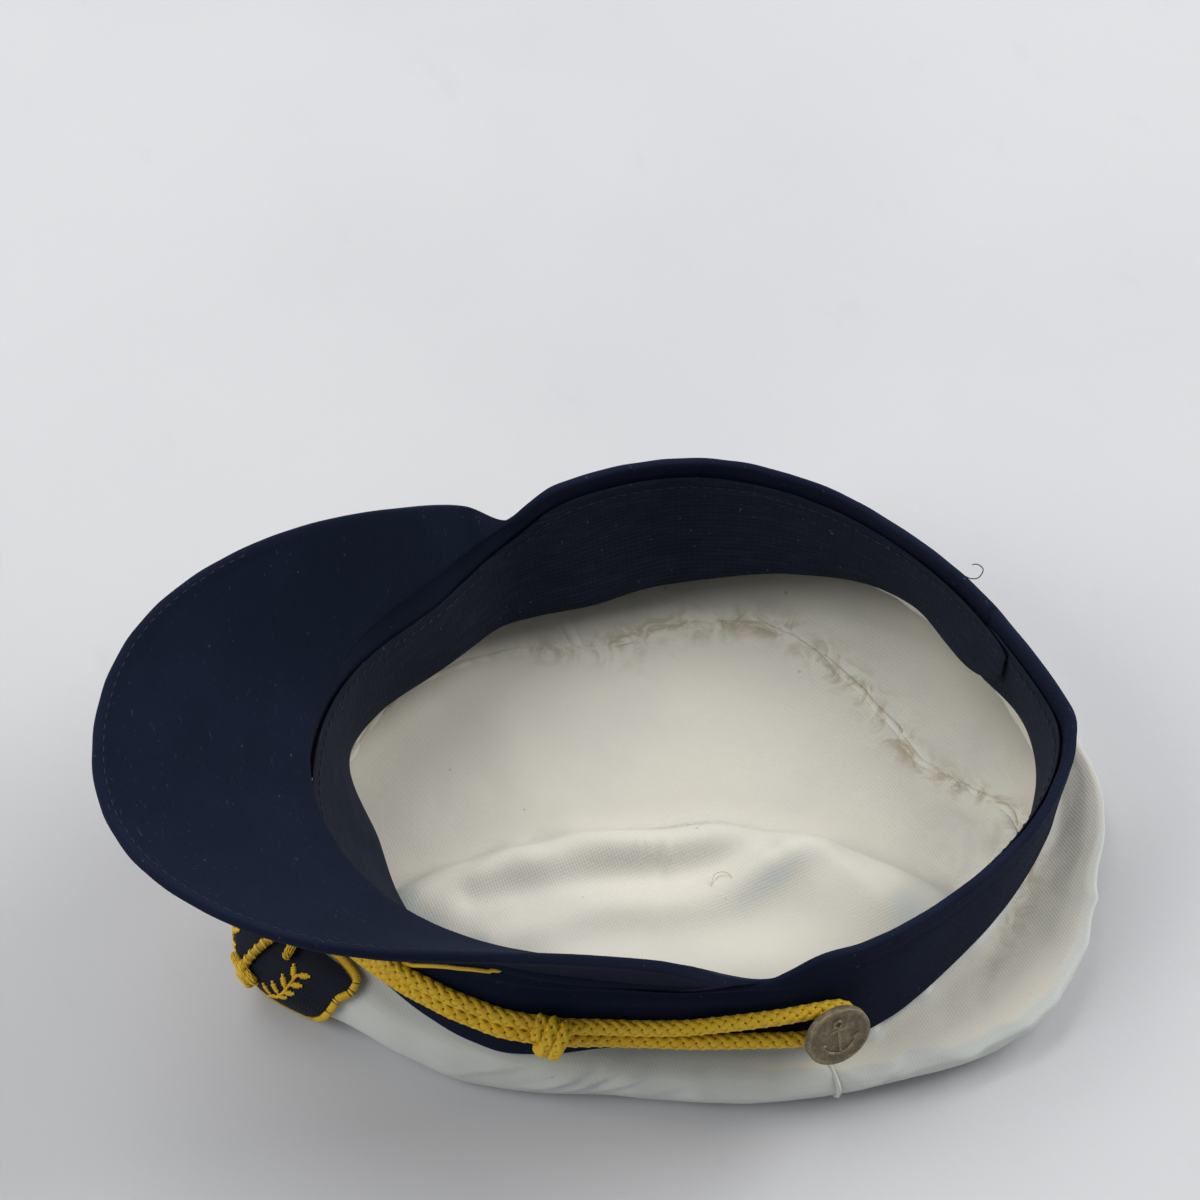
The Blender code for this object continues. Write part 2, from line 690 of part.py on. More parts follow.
def grown(outline, by):
    """Closed outline moved outwards by a distance."""
    moved = []
    for i, here in enumerate(outline):
        into = (here - outline[i - 1]).normalized()
        away = (outline[(i + 1) % len(outline)] - here).normalized()
        normal = Vector((into.y + away.y, -into.x - away.x)).normalized()
        moved.append(here + normal * by / max(0.5, normal.dot(Vector((away.y, -away.x)))))
    return moved


def badge_border(collection):
    """Gold edging cord round the badge's ground."""
    start, end = BADGE_OUTLINE[0][0], BADGE_OUTLINE[-1][0]
    length = crown_length(BADGE_TURN)
    sides = np.linspace(start, end, 9)
    outline = [Vector((badge_half(s), s * length)) for s in sides]
    outline += [Vector((a * badge_half(end), end * length)) for a in (0.5, 0, -0.5)]
    outline += [Vector((-badge_half(s), s * length)) for s in reversed(sides)]
    outline += [Vector((a * badge_half(start), start * length)) for a in (-0.3, 0.3)]
    beside = BORDER_WIRE / 2 + GAP
    points = [badge_point(p.x, p.y / length, beside) for p in grown(outline, beside + 2 * GAP)]
    return plain(tube("badge_border", points, BORDER_WIRE, "gold", collection, True, THIN_SIDES))


def crown_length(bearing):
    points = [crown_point(bearing, s) for s in np.linspace(0, 1, 40)]
    return sum((b - a).length for a, b in zip(points, points[1:]))


def badge_anchor(collection):
    """Raised generic anchor on the badge's ground."""
    middle = (BADGE_OUTLINE[0][0] + BADGE_OUTLINE[-1][0]) / 2
    length = crown_length(BADGE_TURN)
    off = BADGE_CLEAR + BADGE_WALL + GAP + ANCHOR_BAR / 2

    def place(across, up):
        turn = BADGE_TURN + math.degrees(across / foot_radius(0))
        return off_crown(turn, middle + up / length, off)

    return anchor_solid("badge_anchor", ANCHOR_HEIGHT, ANCHOR_BAR, place, 3, collection)


def stand(collection):
    """Bring the middle of the cap's footprint to the origin."""
    bpy.context.view_layer.update()
    corners = np.array([obj.matrix_world @ Vector(corner) for obj in collection.objects
                        for corner in obj.evaluated_get(bpy.context.evaluated_depsgraph_get()).bound_box])
    low, high = corners.min(axis=0), corners.max(axis=0)
    middle = bpy.data.objects.new("footprint", None)
    middle.location = (-(low[0] + high[0]) / 2, -(low[1] + high[1]) / 2, -low[2])
    parts = list(collection.objects)
    collection.objects.link(middle)
    for obj in parts:
        obj.parent = middle


def build():
    clear_scene()
    cap = bpy.data.collections.new("yachting_cap")
    bpy.context.scene.collection.children.link(cap)
    band(cap)
    sweatband(cap)
    crown_side("crown_front", -SIDE_SEAM, SIDE_SEAM, cap)
    crown_side("crown_back", SIDE_SEAM, 360 - SIDE_SEAM, cap)
    crown_tip(cap)
    peak(cap)
    peak_line(cap)
    chin_cord(cap)
    button("button_near", 1, cap)
    button("button_far", -1, cap)
    badge_ground(cap)
    badge_border(cap)
    badge_anchor(cap)
    stand(cap)


build()
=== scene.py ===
"""A yachting cap upside down on a pale floor: its cloth, cord, metal and embroidery.

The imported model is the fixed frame. Each soft solid is copied, made finer and shaped as cloth, and the
copy then stands for its node. Lengths are metres in the row frame: +Z up, the peak towards -Y. A place
round the cap is a bearing in degrees, 0 at the front, 90 on the +X side and 180 at the back.
"""

import logging
import math
from contextlib import contextmanager
from dataclasses import dataclass
from enum import Enum
from typing import Any, Callable, Iterator, Sequence

import bpy
import numpy as np
from mathutils import Matrix, Vector, noise
from mathutils.bvhtree import BVHTree
from mathutils.kdtree import KDTree


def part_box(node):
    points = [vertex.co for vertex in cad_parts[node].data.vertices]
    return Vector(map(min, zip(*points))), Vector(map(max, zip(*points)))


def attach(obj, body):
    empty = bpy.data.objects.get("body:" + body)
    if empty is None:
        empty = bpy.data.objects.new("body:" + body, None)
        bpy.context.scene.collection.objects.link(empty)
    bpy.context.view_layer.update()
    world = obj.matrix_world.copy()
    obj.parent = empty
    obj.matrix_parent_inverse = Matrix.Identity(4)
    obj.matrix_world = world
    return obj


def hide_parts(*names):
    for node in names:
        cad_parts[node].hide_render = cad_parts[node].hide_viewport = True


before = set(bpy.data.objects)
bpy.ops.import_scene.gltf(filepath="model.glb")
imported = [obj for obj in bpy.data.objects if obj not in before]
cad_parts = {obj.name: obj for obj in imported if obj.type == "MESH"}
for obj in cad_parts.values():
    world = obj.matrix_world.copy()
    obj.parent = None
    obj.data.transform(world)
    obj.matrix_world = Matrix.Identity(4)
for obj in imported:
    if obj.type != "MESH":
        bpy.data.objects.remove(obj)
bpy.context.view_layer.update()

log = logging.getLogger("cap")

AXIS = Vector((-0.00059, 0.02235, 0.0))
UP = Vector((0.0, 0.0, 1.0))
BODY = "root"
Points = np.ndarray


class Weave(Enum):
    """The way a cloth's threads run."""

    TWILL = "twill"
    PLAIN = "plain"
    RIB = "rib"


class Side(Enum):
    """A side of the cap, by the sign of its bearings."""

    NEAR = 1
    FAR = -1


class Slot(Enum):
    """The material slots of the record."""

    COTTON = "white_cotton"
    WOOL = "navy_wool"
    LINING = "sweatband_cloth"
    GOLD = "gold_thread"
    METAL = "button_metal"
    BADGE = "badge_cloth"


class Signal:
    """A socket that takes part in Python arithmetic. Each operation adds its own Math node."""

    def __init__(self, paint: "Paint", socket: bpy.types.NodeSocket) -> None:
        """Wraps a socket.

        Args:
            paint: the finish's node graph.
            socket: the output that this signal reads.
        """
        self.paint = paint
        self.socket = socket

    def join(self, operation: str, first: Any, second: Any = 0.0) -> "Signal":
        """Adds a Math node.

        Args:
            operation: the node's operation.
            first: the first value or signal.
            second: the second value or signal.

        Returns:
            The node's output.
        """
        made = self.paint.node("ShaderNodeMath", {"operation": operation}, {0: first, 1: second})
        return Signal(self.paint, made.outputs[0])

    def __add__(self, other: Any) -> "Signal":
        """Sum."""
        return self.join("ADD", self, other)

    __radd__ = __add__

    def __sub__(self, other: Any) -> "Signal":
        """Difference."""
        return self.join("SUBTRACT", self, other)

    def __rsub__(self, other: Any) -> "Signal":
        """Difference from a number."""
        return self.join("SUBTRACT", other, self)

    def __mul__(self, other: Any) -> "Signal":
        """Product."""
        return self.join("MULTIPLY", self, other)

    __rmul__ = __mul__

    def sine(self) -> "Signal":
        """Sine, from 0 to 1."""
        return self.join("SINE", self) * 0.5 + 0.5

    def rise(self, low: float, high: float) -> "Signal":
        """Smooth step.

        Args:
            low: the value that gives 0.
            high: the value that gives 1.

        Returns:
            A signal from 0 to 1.
        """
        made = self.paint.node("ShaderNodeMapRange", {"interpolation_type": "SMOOTHSTEP"},
                               {"Value": self, "From Min": low, "From Max": high})
        return Signal(self.paint, made.outputs[0])


class Paint:
    """The node graph of one finish, built round a Principled shader."""

    def __init__(self, name: str) -> None:
        """Makes an empty graph.

        Args:
            name: the material's name.
        """
        self.material = bpy.data.materials.new(name)
        self.material.use_nodes = True
        self.tree = self.material.node_tree
        self.tree.nodes.clear()
        self.shader = self.tree.nodes.new("ShaderNodeBsdfPrincipled")
        output = self.tree.nodes.new("ShaderNodeOutputMaterial")
        self.tree.links.new(self.shader.outputs[0], output.inputs[0])

    def node(self, kind: str, settings: dict[str, Any] | None = None,
             inputs: dict[Any, Any] | None = None) -> bpy.types.Node:
        """Adds a node.

        Args:
            kind: the node's type.
            settings: its settings, set before its sockets.
            inputs: values, sockets or signals of its sockets, by name or number.

        Returns:
            The node.
        """
        made = self.tree.nodes.new(kind)
        for key, value in (settings or {}).items():
            setattr(made, key, value)
        for key, value in (inputs or {}).items():
            self.feed(made.inputs[key], value)
        return made

    def feed(self, socket: bpy.types.NodeSocket, value: Any) -> None:
        """Sets or links a socket.

        Args:
            socket: the input.
            value: a number, a tuple, a socket or a signal.
        """
        if isinstance(value, Signal):
            value = value.socket
        if isinstance(value, bpy.types.NodeSocket):
            self.tree.links.new(value, socket)
        else:
            socket.default_value = value

    def place(self) -> bpy.types.NodeSocket:
        """The object's own coordinates, in metres."""
        return self.node("ShaderNodeTexCoord").outputs["Object"]

    def along(self) -> tuple[Signal, Signal]:
        """The cloth's two directions, in metres, from the piece's UV map.

        Returns:
            The distance round the piece and the distance across it.
        """
        cloth = self.node("ShaderNodeUVMap", {"uv_map": "cloth"}).outputs[0]
        split = self.node("ShaderNodeSeparateXYZ", inputs={0: cloth})
        return Signal(self, split.outputs[0]), Signal(self, split.outputs[1])

    def trait(self, name: str) -> Signal:
        """A number kept on the mesh's points.

        Args:
            name: the attribute's name.

        Returns:
            The number as a signal.
        """
        return Signal(self, self.node("ShaderNodeAttribute", {"attribute_name": name}).outputs["Fac"])

    def cloud(self, scale: float, detail: float = 3.0, rough: float = 0.55,
              stretch: Sequence[float] = (1.0, 1.0, 1.0), twist: float = 0.0) -> Signal:
        """Noise over the piece.

        Args:
            scale: how many features to a metre.
            detail: octaves.
            rough: how strong the fine octaves are.
            stretch: scale of each axis.
            twist: how far the noise is pulled about.

        Returns:
            The noise, about 0.5 on average.
        """
        spread = self.node("ShaderNodeMapping", {}, {"Vector": self.place(), "Scale": tuple(stretch)})
        made = self.node("ShaderNodeTexNoise", {"noise_dimensions": "3D"},
                         {"Vector": spread.outputs[0], "Scale": scale, "Detail": detail,
                          "Roughness": rough, "Distortion": twist})
        return Signal(self, made.outputs[0])

    def mix(self, share: Any, first: Any, second: Any) -> bpy.types.NodeSocket:
        """Blends two colours.

        Args:
            share: how much of the second.
            first: a colour or its socket.
            second: a colour or its socket.

        Returns:
            The blended colour.
        """
        colours = [(*c, 1.0) if isinstance(c, tuple) and len(c) == 3 else c for c in (first, second)]
        made = self.node("ShaderNodeMix", {"data_type": "RGBA", "clamp_factor": True},
                         {0: share, 6: colours[0], 7: colours[1]})
        return made.outputs[2]

    def relief(self, height: Signal, depth: float, strength: float = 1.0) -> bpy.types.NodeSocket:
        """Bump.

        Args:
            height: the relief, 0 to 1.
            depth: metres between 0 and 1.
            strength: how much of it shows.

        Returns:
            The normal.
        """
        made = self.node("ShaderNodeBump", {}, {"Height": height, "Distance": depth, "Strength": strength})
        return made.outputs[0]

    def weave(self, kind: Weave, pitch: float) -> Signal:
        """The relief of woven threads.

        Args:
            kind: how the threads run.
            pitch: metres from one thread to the next.

        Returns:
            The relief, 0 to 1.
        """
        u, v = self.along()
        turn = 2 * math.pi / pitch
        if kind is Weave.TWILL:
            return ((u + v) * turn).sine() * 0.7 + ((u - v) * (turn * 2.3)).sine() * 0.3
        if kind is Weave.RIB:
            return (v * turn).sine() * 0.75 + (u * (turn * 0.6)).sine() * 0.25
        return (u * turn).sine() * 0.5 + (v * turn).sine() * 0.5

    def close(self, base: Any, rough: Any, normal: bpy.types.NodeSocket,
              **steady: float | tuple) -> bpy.types.Material:
        """Feeds the shader.

        Args:
            base: colour or its socket.
            rough: roughness or its signal.
            normal: the normal's socket.
            steady: constants of the shader's own sockets, spaces written as underscores.

        Returns:
            The finished material.
        """
        self.feed(self.shader.inputs["Base Color"], base)
        self.feed(self.shader.inputs["Roughness"], rough)
        self.feed(self.shader.inputs["Normal"], normal)
        for key, value in steady.items():
            self.shader.inputs[key.replace("_", " ")].default_value = value
        return self.material


@dataclass(frozen=True)
class NavyTwill:
    """Navy cloth with lint on it."""

    name: str = "navy_twill"
    colour: tuple = (0.0040, 0.0075, 0.021)
    worn: tuple = (0.009, 0.0145, 0.035)
    lint: tuple = (0.16, 0.18, 0.24)
    pitch: float = 0.00085
    weave: Weave = Weave.TWILL
    fuzz: float = 0.00022

    def material(self) -> bpy.types.Material:
        """Builds the finish."""
        paint = Paint(self.name)
        threads = paint.weave(self.weave, self.pitch)
        fine = paint.cloud(1400, 2, 0.6)
        broad = paint.cloud(38, 4, 0.6)
        wear = paint.trait("wear")
        shade = broad.rise(0.35, 0.75) * 0.35 + wear * 0.75 + threads * 0.16
        base = paint.mix(shade, self.colour, self.worn)
        specks = paint.cloud(760, 1, 0.4).rise(0.735, 0.79) * paint.cloud(90, 1).rise(0.42, 0.6)
        hairs = paint.cloud(260, 1, 0.3, (1, 7, 2), 1.2).rise(0.735, 0.78)
        base = paint.mix(specks * 0.22 + hairs * 0.12, base, self.lint)
        height = threads * 0.45 + fine * 0.55
        return paint.close(base, 0.92 - threads * 0.06, paint.relief(height, self.fuzz, 0.9),
                           Specular_IOR_Level=0.10, Sheen_Weight=0.012, Sheen_Roughness=0.5,
                           Sheen_Tint=(0.35, 0.45, 0.85, 1.0))


@dataclass(frozen=True)
class LiningRib:
    """Dark ribbed tape of the sweatband."""

    name: str = "lining_rib"
    colour: tuple = (0.0060, 0.0092, 0.020)
    worn: tuple = (0.020, 0.026, 0.042)
    lint: tuple = (0.15, 0.16, 0.2)
    pitch: float = 0.0011

    def material(self) -> bpy.types.Material:
        """Builds the finish."""
        paint = Paint(self.name)
        ribs = paint.weave(Weave.RIB, self.pitch)
        streaks = paint.cloud(120, 3, 0.6, (1, 1, 6))
        wear = paint.trait("wear")
        base = paint.mix(ribs * 0.3 + streaks.rise(0.4, 0.8) * 0.4 + wear * 0.5, self.colour, self.worn)
        specks = paint.cloud(820, 1, 0.4).rise(0.75, 0.80)
        base = paint.mix(specks * 0.35, base, self.lint)
        height = ribs * 0.6 + paint.cloud(1500, 2) * 0.4
        return paint.close(base, 0.86 - ribs * 0.08, paint.relief(height, 0.00018, 0.9),
                           Specular_IOR_Level=0.11, Sheen_Weight=0.01, Sheen_Roughness=0.5)


@dataclass(frozen=True)
class WhiteCotton:
    """Off-white cotton, stained along its inner seam, its outer face painted darker and greener as shade."""

    name: str = "white_cotton"
    # the outer face's colour is painted shade: the same cotton as inside, darker and greener
    outside_painted_shade: tuple = (0.61, 0.635, 0.60)
    inside: tuple = (0.70, 0.675, 0.59)
    shadow: tuple = (0.58, 0.585, 0.545)
    stain: tuple = (0.38, 0.31, 0.185)
    grime: tuple = (0.50, 0.49, 0.44)
    between: tuple = (0.45, 0.45, 0.42)
    fleck: tuple = (0.25, 0.22, 0.18)
    pitch: float = 0.0008

    def material(self) -> bpy.types.Material:
        """Builds the finish."""
        paint = Paint(self.name)
        threads = paint.weave(Weave.PLAIN, self.pitch)
        broad = paint.cloud(26, 4, 0.55)
        inner = paint.trait("inner")
        seam = paint.trait("seam")
        # painted shade: the outer face takes the darker, greener copy of the cotton
        base = paint.mix(inner, self.outside_painted_shade, self.inside)
        base = paint.mix(broad.rise(0.40, 0.72) * 0.30, base, self.shadow)
        blot = paint.cloud(95, 5, 0.7, twist=1.4)
        line = seam * blot.rise(0.42, 0.66)
        base = paint.mix(line * 0.9, base, self.stain)
        patch = paint.trait("soil") * paint.cloud(60, 5, 0.65, twist=0.8).rise(0.42, 0.70)
        base = paint.mix(patch * 0.6, base, self.grime)
        base = paint.mix(threads * 0.05, base, self.between)
        dots = paint.cloud(420, 1, 0.3).rise(0.80, 0.84)
        base = paint.mix(dots * 0.4, base, self.fleck)
        height = threads * 0.5 + paint.cloud(900, 3) * 0.5
        return paint.close(base, 0.88 - threads * 0.05, paint.relief(height, 0.00012, 0.8),
                           Specular_IOR_Level=0.25, Sheen_Weight=0.08, Sheen_Roughness=0.6)


@dataclass(frozen=True)
class GoldYarn:
    """Yellow yarn, with painted shade in the gaps between its turns."""

    name: str
    colour: tuple = (0.74, 0.47, 0.016)
    painted_gap_shade: tuple = (0.30, 0.155, 0.006)
    light: tuple = (0.90, 0.66, 0.06)
    dull: tuple = (0.50, 0.27, 0.012)
    shine: float = 0.35

    def material(self) -> bpy.types.Material:
        """Builds the finish."""
        paint = Paint(self.name)
        raised = paint.trait("raised")
        fibre = paint.cloud(2600, 2, 0.6, (1, 1, 2.5))
        broad = paint.cloud(120, 3)
        # painted shade: low places of the yarn, with small raised, take the dark gap colour
        base = paint.mix(raised.rise(0.15, 0.75), self.painted_gap_shade, self.colour)
        base = paint.mix(fibre.rise(0.5, 0.75) * 0.35, base, self.light)
        base = paint.mix(broad.rise(0.52, 0.75) * 0.35, base, self.dull)
        return paint.close(base, 0.62 - fibre * 0.12, paint.relief(fibre, 0.00012, 0.8),
                           Specular_IOR_Level=self.shine, Sheen_Weight=0.10, Sheen_Roughness=0.4,
                           Sheen_Tint=(1.0, 0.85, 0.4, 1.0))


@dataclass(frozen=True)
class BadgeCloth:
    """Dark ground of close embroidery."""

    name: str = "badge_cloth"
    colour: tuple = (0.0035, 0.006, 0.013)
    light: tuple = (0.010, 0.014, 0.025)
    row: float = 0.0007
    stitch: float = 0.0021

    def material(self) -> bpy.types.Material:
        """Builds the finish."""
        paint = Paint(self.name)
        u, v = paint.along()
        turn = 2 * math.pi
        rows = (u * (turn / self.row)).sine() * 0.6 + (v * (turn / self.stitch)).sine() * 0.4
        base = paint.mix(rows * 0.5 + paint.cloud(300, 3) * 0.3, self.colour, self.light)
        return paint.close(base, 0.78, paint.relief(rows + paint.cloud(1800, 2) * 0.4, 0.00016, 0.9),
                           Specular_IOR_Level=0.18, Sheen_Weight=0.015, Sheen_Roughness=0.5)


@dataclass(frozen=True)
class Pewter:
    """Tarnished metal, brighter where it is rubbed."""

    name: str = "tarnished_metal"
    colour: tuple = (0.27, 0.225, 0.14)
    dark: tuple = (0.15, 0.122, 0.078)
    rubbed: tuple = (0.44, 0.38, 0.25)

    def material(self) -> bpy.types.Material:
        """Builds the finish."""
        paint = Paint(self.name)
        raised = paint.trait("raised")
        blotch = paint.cloud(420, 5, 0.7, twist=0.6)
        grain = paint.cloud(2200, 3, 0.6)
        base = paint.mix(blotch.rise(0.38, 0.68), self.dark, self.colour)
        worn = raised * grain.rise(0.35, 0.62)
        base = paint.mix(worn * 0.45, base, self.rubbed)
        pits = paint.cloud(1500, 2, 0.5).rise(0.62, 0.70)
        base = paint.mix(pits * 0.35, base, self.rubbed)
        rough = 0.58 - worn * 0.22 + blotch * 0.10
        return paint.close(base, rough, paint.relief(grain * 0.5 + blotch * 0.5, 0.00007, 0.8),
                           Metallic=0.6, Specular_IOR_Level=0.5)


@dataclass(frozen=True)
class PlainThread:
    """Fine sewing thread."""

    name: str
    colour: tuple

    def material(self) -> bpy.types.Material:
        """Builds the finish."""
        paint = Paint(self.name)
        twist = paint.cloud(3200, 1, 0.5)
        base = paint.mix(twist, self.colour, tuple(min(1.0, c * 1.5 + 0.004) for c in self.colour))
        return paint.close(base, 0.7, paint.relief(twist, 0.00006, 0.7), Specular_IOR_Level=0.3)


@dataclass(frozen=True)
class FloorPaper:
    """Pale studio floor."""

    name: str = "floor_paper"
    colour: tuple = (0.62, 0.625, 0.645)
    faint: tuple = (0.54, 0.545, 0.565)

    def material(self) -> bpy.types.Material:
        """Builds the finish."""
        paint = Paint(self.name)
        broad = paint.cloud(5, 4, 0.5)
        marks = paint.cloud(28, 3, 0.6, (1, 2, 1)).rise(0.60, 0.80)
        base = paint.mix(broad.rise(0.35, 0.75) * 0.45 + marks * 0.25, self.colour, self.faint)
        return paint.close(base, 0.85, paint.relief(paint.cloud(300, 4), 0.0002, 0.4),
                           Specular_IOR_Level=0.2)


class Bench:
    """The modelling steps that the pieces share."""

    @staticmethod
    def choose(obj: bpy.types.Object, *others: bpy.types.Object) -> None:
        """Makes objects the selection, the first one active.

        Args:
            obj: the active object.
            others: further selected objects.
        """
        for chosen in list(bpy.context.selected_objects):
            chosen.select_set(False)
        for chosen in (obj, *others):
            chosen.select_set(True)
        bpy.context.view_layer.objects.active = obj

    @staticmethod
    @contextmanager
    def editing(obj: bpy.types.Object, select: bool = True) -> Iterator[None]:
        """Edit mode on one object.

        Args:
            obj: the object.
            select: whether all of it starts selected.

        Yields:
            Nothing.
        """
        Bench.choose(obj)
        bpy.ops.object.mode_set(mode="EDIT")
        bpy.ops.mesh.select_mode(type="VERT")
        bpy.ops.mesh.select_all(action="SELECT" if select else "DESELECT")
        yield
        bpy.ops.object.mode_set(mode="OBJECT")

    @staticmethod
    def copy_node(node: str, name: str, levels: int = 0, firm: int = 0) -> bpy.types.Object:
        """Copies a node of the frame as a merged mesh of quads.

        Args:
            node: the node's name.
            name: the new piece's name.
            levels: how many times it is subdivided smoothly.
            firm: cuts made across each face first, which keep its edges from shrinking.

        Returns:
            The copy.
        """
        obj = bpy.data.objects.new(name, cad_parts[node].data.copy())
        obj.data.materials.clear()
        bpy.context.scene.collection.objects.link(obj)
        with Bench.editing(obj):
            bpy.ops.mesh.remove_doubles(threshold=0.00001)
            bpy.ops.mesh.tris_convert_to_quads(face_threshold=1.05, shape_threshold=1.05)
            bpy.ops.mesh.normals_make_consistent(inside=False)
            if firm:
                bpy.ops.mesh.subdivide(number_cuts=firm, smoothness=0.0)
        if levels:
            Bench.finer(obj, levels)
        return obj

    @staticmethod
    def finer(obj: bpy.types.Object, levels: int) -> None:
        """Subdivides smoothly.

        Args:
            obj: the object.
            levels: how many times.
        """
        Bench.choose(obj)
        made = obj.modifiers.new("finer", "SUBSURF")
        made.levels = made.render_levels = levels
        bpy.ops.object.modifier_apply(modifier=made.name)

    @staticmethod
    def points(obj: bpy.types.Object) -> Points:
        """The places of an object's vertices."""
        flat = np.empty(len(obj.data.vertices) * 3)
        obj.data.vertices.foreach_get("co", flat)
        return flat.reshape(-1, 3)

    @staticmethod
    def put(obj: bpy.types.Object, points: Points) -> None:
        """Moves an object's vertices.

        Args:
            obj: the object.
            points: their new places.
        """
        obj.data.vertices.foreach_set("co", np.ascontiguousarray(points, float).ravel())
        obj.data.update()

    @staticmethod
    def normals(obj: bpy.types.Object) -> Points:
        """The normals at an object's vertices."""
        flat = np.empty(len(obj.data.vertices) * 3, np.float32)
        obj.data.vertex_normals.foreach_get("vector", flat)
        return flat.reshape(-1, 3).astype(float)

    @staticmethod
    def keep(obj: bpy.types.Object, name: str, values: Points | float) -> None:
        """Keeps a number on each vertex.

        Args:
            obj: the object.
            name: the attribute's name.
            values: one number for each vertex, or one for all of them.
        """
        layer = obj.data.attributes.new(name, "FLOAT", "POINT")
        kept = np.broadcast_to(np.clip(values, 0, 1), len(obj.data.vertices))
        layer.data.foreach_set("value", kept.astype(np.float32))

    @staticmethod
    def lay_cloth(obj: bpy.types.Object, spread: Callable[[Points, Points], Points]) -> None:
        """Gives a piece the UV map that its weave follows.

        Args:
            obj: the object.
            spread: gives a corner's two distances from its place and its face's normal.
        """
        mesh = obj.data
        layer = mesh.uv_layers.get("cloth") or mesh.uv_layers.new(name="cloth")
        places = Bench.points(obj)
        corners = np.empty(len(mesh.loops), int)
        mesh.loops.foreach_get("vertex_index", corners)
        facing = np.empty(len(mesh.polygons) * 3)
        mesh.polygons.foreach_get("normal", facing)
        counts = np.empty(len(mesh.polygons), int)
        mesh.polygons.foreach_get("loop_total", counts)
        normals = np.repeat(facing.reshape(-1, 3), counts, axis=0)
        layer.data.foreach_set("uv", spread(places[corners], normals).astype(np.float32).ravel())

    @staticmethod
    def smooth(obj: bpy.types.Object, angle: float = 60.0) -> None:
        """Shades smoothly, with edges sharper than an angle kept."""
        Bench.choose(obj)
        bpy.ops.object.shade_smooth_by_angle(angle=math.radians(angle))

    @staticmethod
    def sheet(name: str, across: int, along: int, place: Callable[[float, float], Sequence[float]],
              closed: bool = False) -> bpy.types.Object:
        """A grid laid where a function says, by its two shares.

        Args:
            name: the piece's name.
            across: faces one way.
            along: faces the other way.
            place: gives a point from the shares across and along.
            closed: whether doubled edges are merged and holes at ends filled.

        Returns:
            The piece.
        """
        bpy.ops.mesh.primitive_grid_add(x_subdivisions=across, y_subdivisions=along, size=1.0)
        obj = bpy.context.active_object
        obj.name = obj.data.name = name
        flat = Bench.points(obj)
        Bench.put(obj, np.array([place(x + 0.5, y + 0.5) for x, y, _ in flat]))
        with Bench.editing(obj):
            if closed:
                bpy.ops.mesh.remove_doubles(threshold=0.000004)
                bpy.ops.mesh.select_all(action="DESELECT")
                bpy.ops.mesh.select_non_manifold()
                bpy.ops.mesh.fill_holes(sides=0)
                bpy.ops.mesh.select_all(action="SELECT")
            bpy.ops.mesh.normals_make_consistent(inside=False)
        return obj

    @staticmethod
    def join(name: str, pieces: Sequence[bpy.types.Object]) -> bpy.types.Object:
        """Joins objects into one.

        Args:
            name: the joined piece's name.
            pieces: the objects, of which the first one stays.

        Returns:
            The joined piece.
        """
        Bench.choose(*pieces)
        if len(pieces) > 1:
            bpy.ops.object.join()
        pieces[0].name = pieces[0].data.name = name
        return pieces[0]

    @staticmethod
    def round_edges(obj: bpy.types.Object, width: float, segments: int, angle: float = 30.0) -> None:
        """Rounds the edges sharper than an angle.

        Args:
            obj: the object.
            width: how far the rounding reaches.
            segments: faces across it.
            angle: degrees.
        """
        made = obj.modifiers.new("edge", "BEVEL")
        made.width, made.segments = width, segments
        made.limit_method, made.angle_limit = "ANGLE", math.radians(angle)
        Bench.choose(obj)
        bpy.ops.object.modifier_apply(modifier=made.name)

    @staticmethod
    def settle(obj: bpy.types.Object) -> None:
        """Puts an object at the origin, with its place in its mesh."""
        Bench.choose(obj)
        bpy.ops.object.transform_apply(location=True, rotation=True, scale=True)

    @staticmethod
    def dress(obj: bpy.types.Object, material: bpy.types.Material, slot: Slot, *nodes: str,
              angle: float = 60.0) -> bpy.types.Object:
        """Finishes a piece: its material, its shading and what it stands for.

        Args:
            obj: the piece.
            material: its finish.
            slot: the record's slot; not used.
            nodes: the nodes of the frame that it replaces.
            angle: the sharpest edge that is shaded smoothly.

        Returns:
            The piece.
        """
        for trait in ("wear", "inner", "seam", "soil", "raised"):
            if trait not in obj.data.attributes:
                Bench.keep(obj, trait, 0.5 if trait == "raised" else 0.0)
        obj.data.materials.clear()
        obj.data.materials.append(material)
        Bench.smooth(obj, angle)
        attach(obj, BODY)
        if nodes:
            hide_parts(*nodes)
        log.info("%s: %d faces", obj.name, len(obj.data.polygons))
        return obj


def polar(points: Points) -> tuple[Points, Points]:
    """Bearings in degrees and distances from the head's axis.

    Args:
        points: places, one to a row.

    Returns:
        The bearings, from -180 to 180, and the distances.
    """
    x, y = points[:, 0] - AXIS.x, points[:, 1] - AXIS.y
    return np.degrees(np.arctan2(x, -y)), np.hypot(x, y)


def spot(radius: float, bearing: float, height: float) -> Vector:
    """The point at a distance from the axis, a bearing and a height."""
    angle = math.radians(bearing)
    return Vector((AXIS.x + radius * math.sin(angle), AXIS.y - radius * math.cos(angle), height))


def outward(bearing: float) -> Vector:
    """The level way out from the axis at a bearing."""
    return spot(1.0, bearing, 0.0) - spot(0.0, bearing, 0.0)


def push(points: Points, amount: Points) -> Points:
    """Places moved level, away from the axis.

    Args:
        points: places, one to a row.
        amount: how far each one moves.

    Returns:
        The new places.
    """
    angles = np.radians(polar(points)[0])
    moved = points.copy()
    moved[:, 0] += np.sin(angles) * amount
    moved[:, 1] -= np.cos(angles) * amount
    return moved


def in_plan(points: Points, normals: Points) -> Points:
    """Distances in plan, that a level piece's weave follows."""
    return points[:, :2]


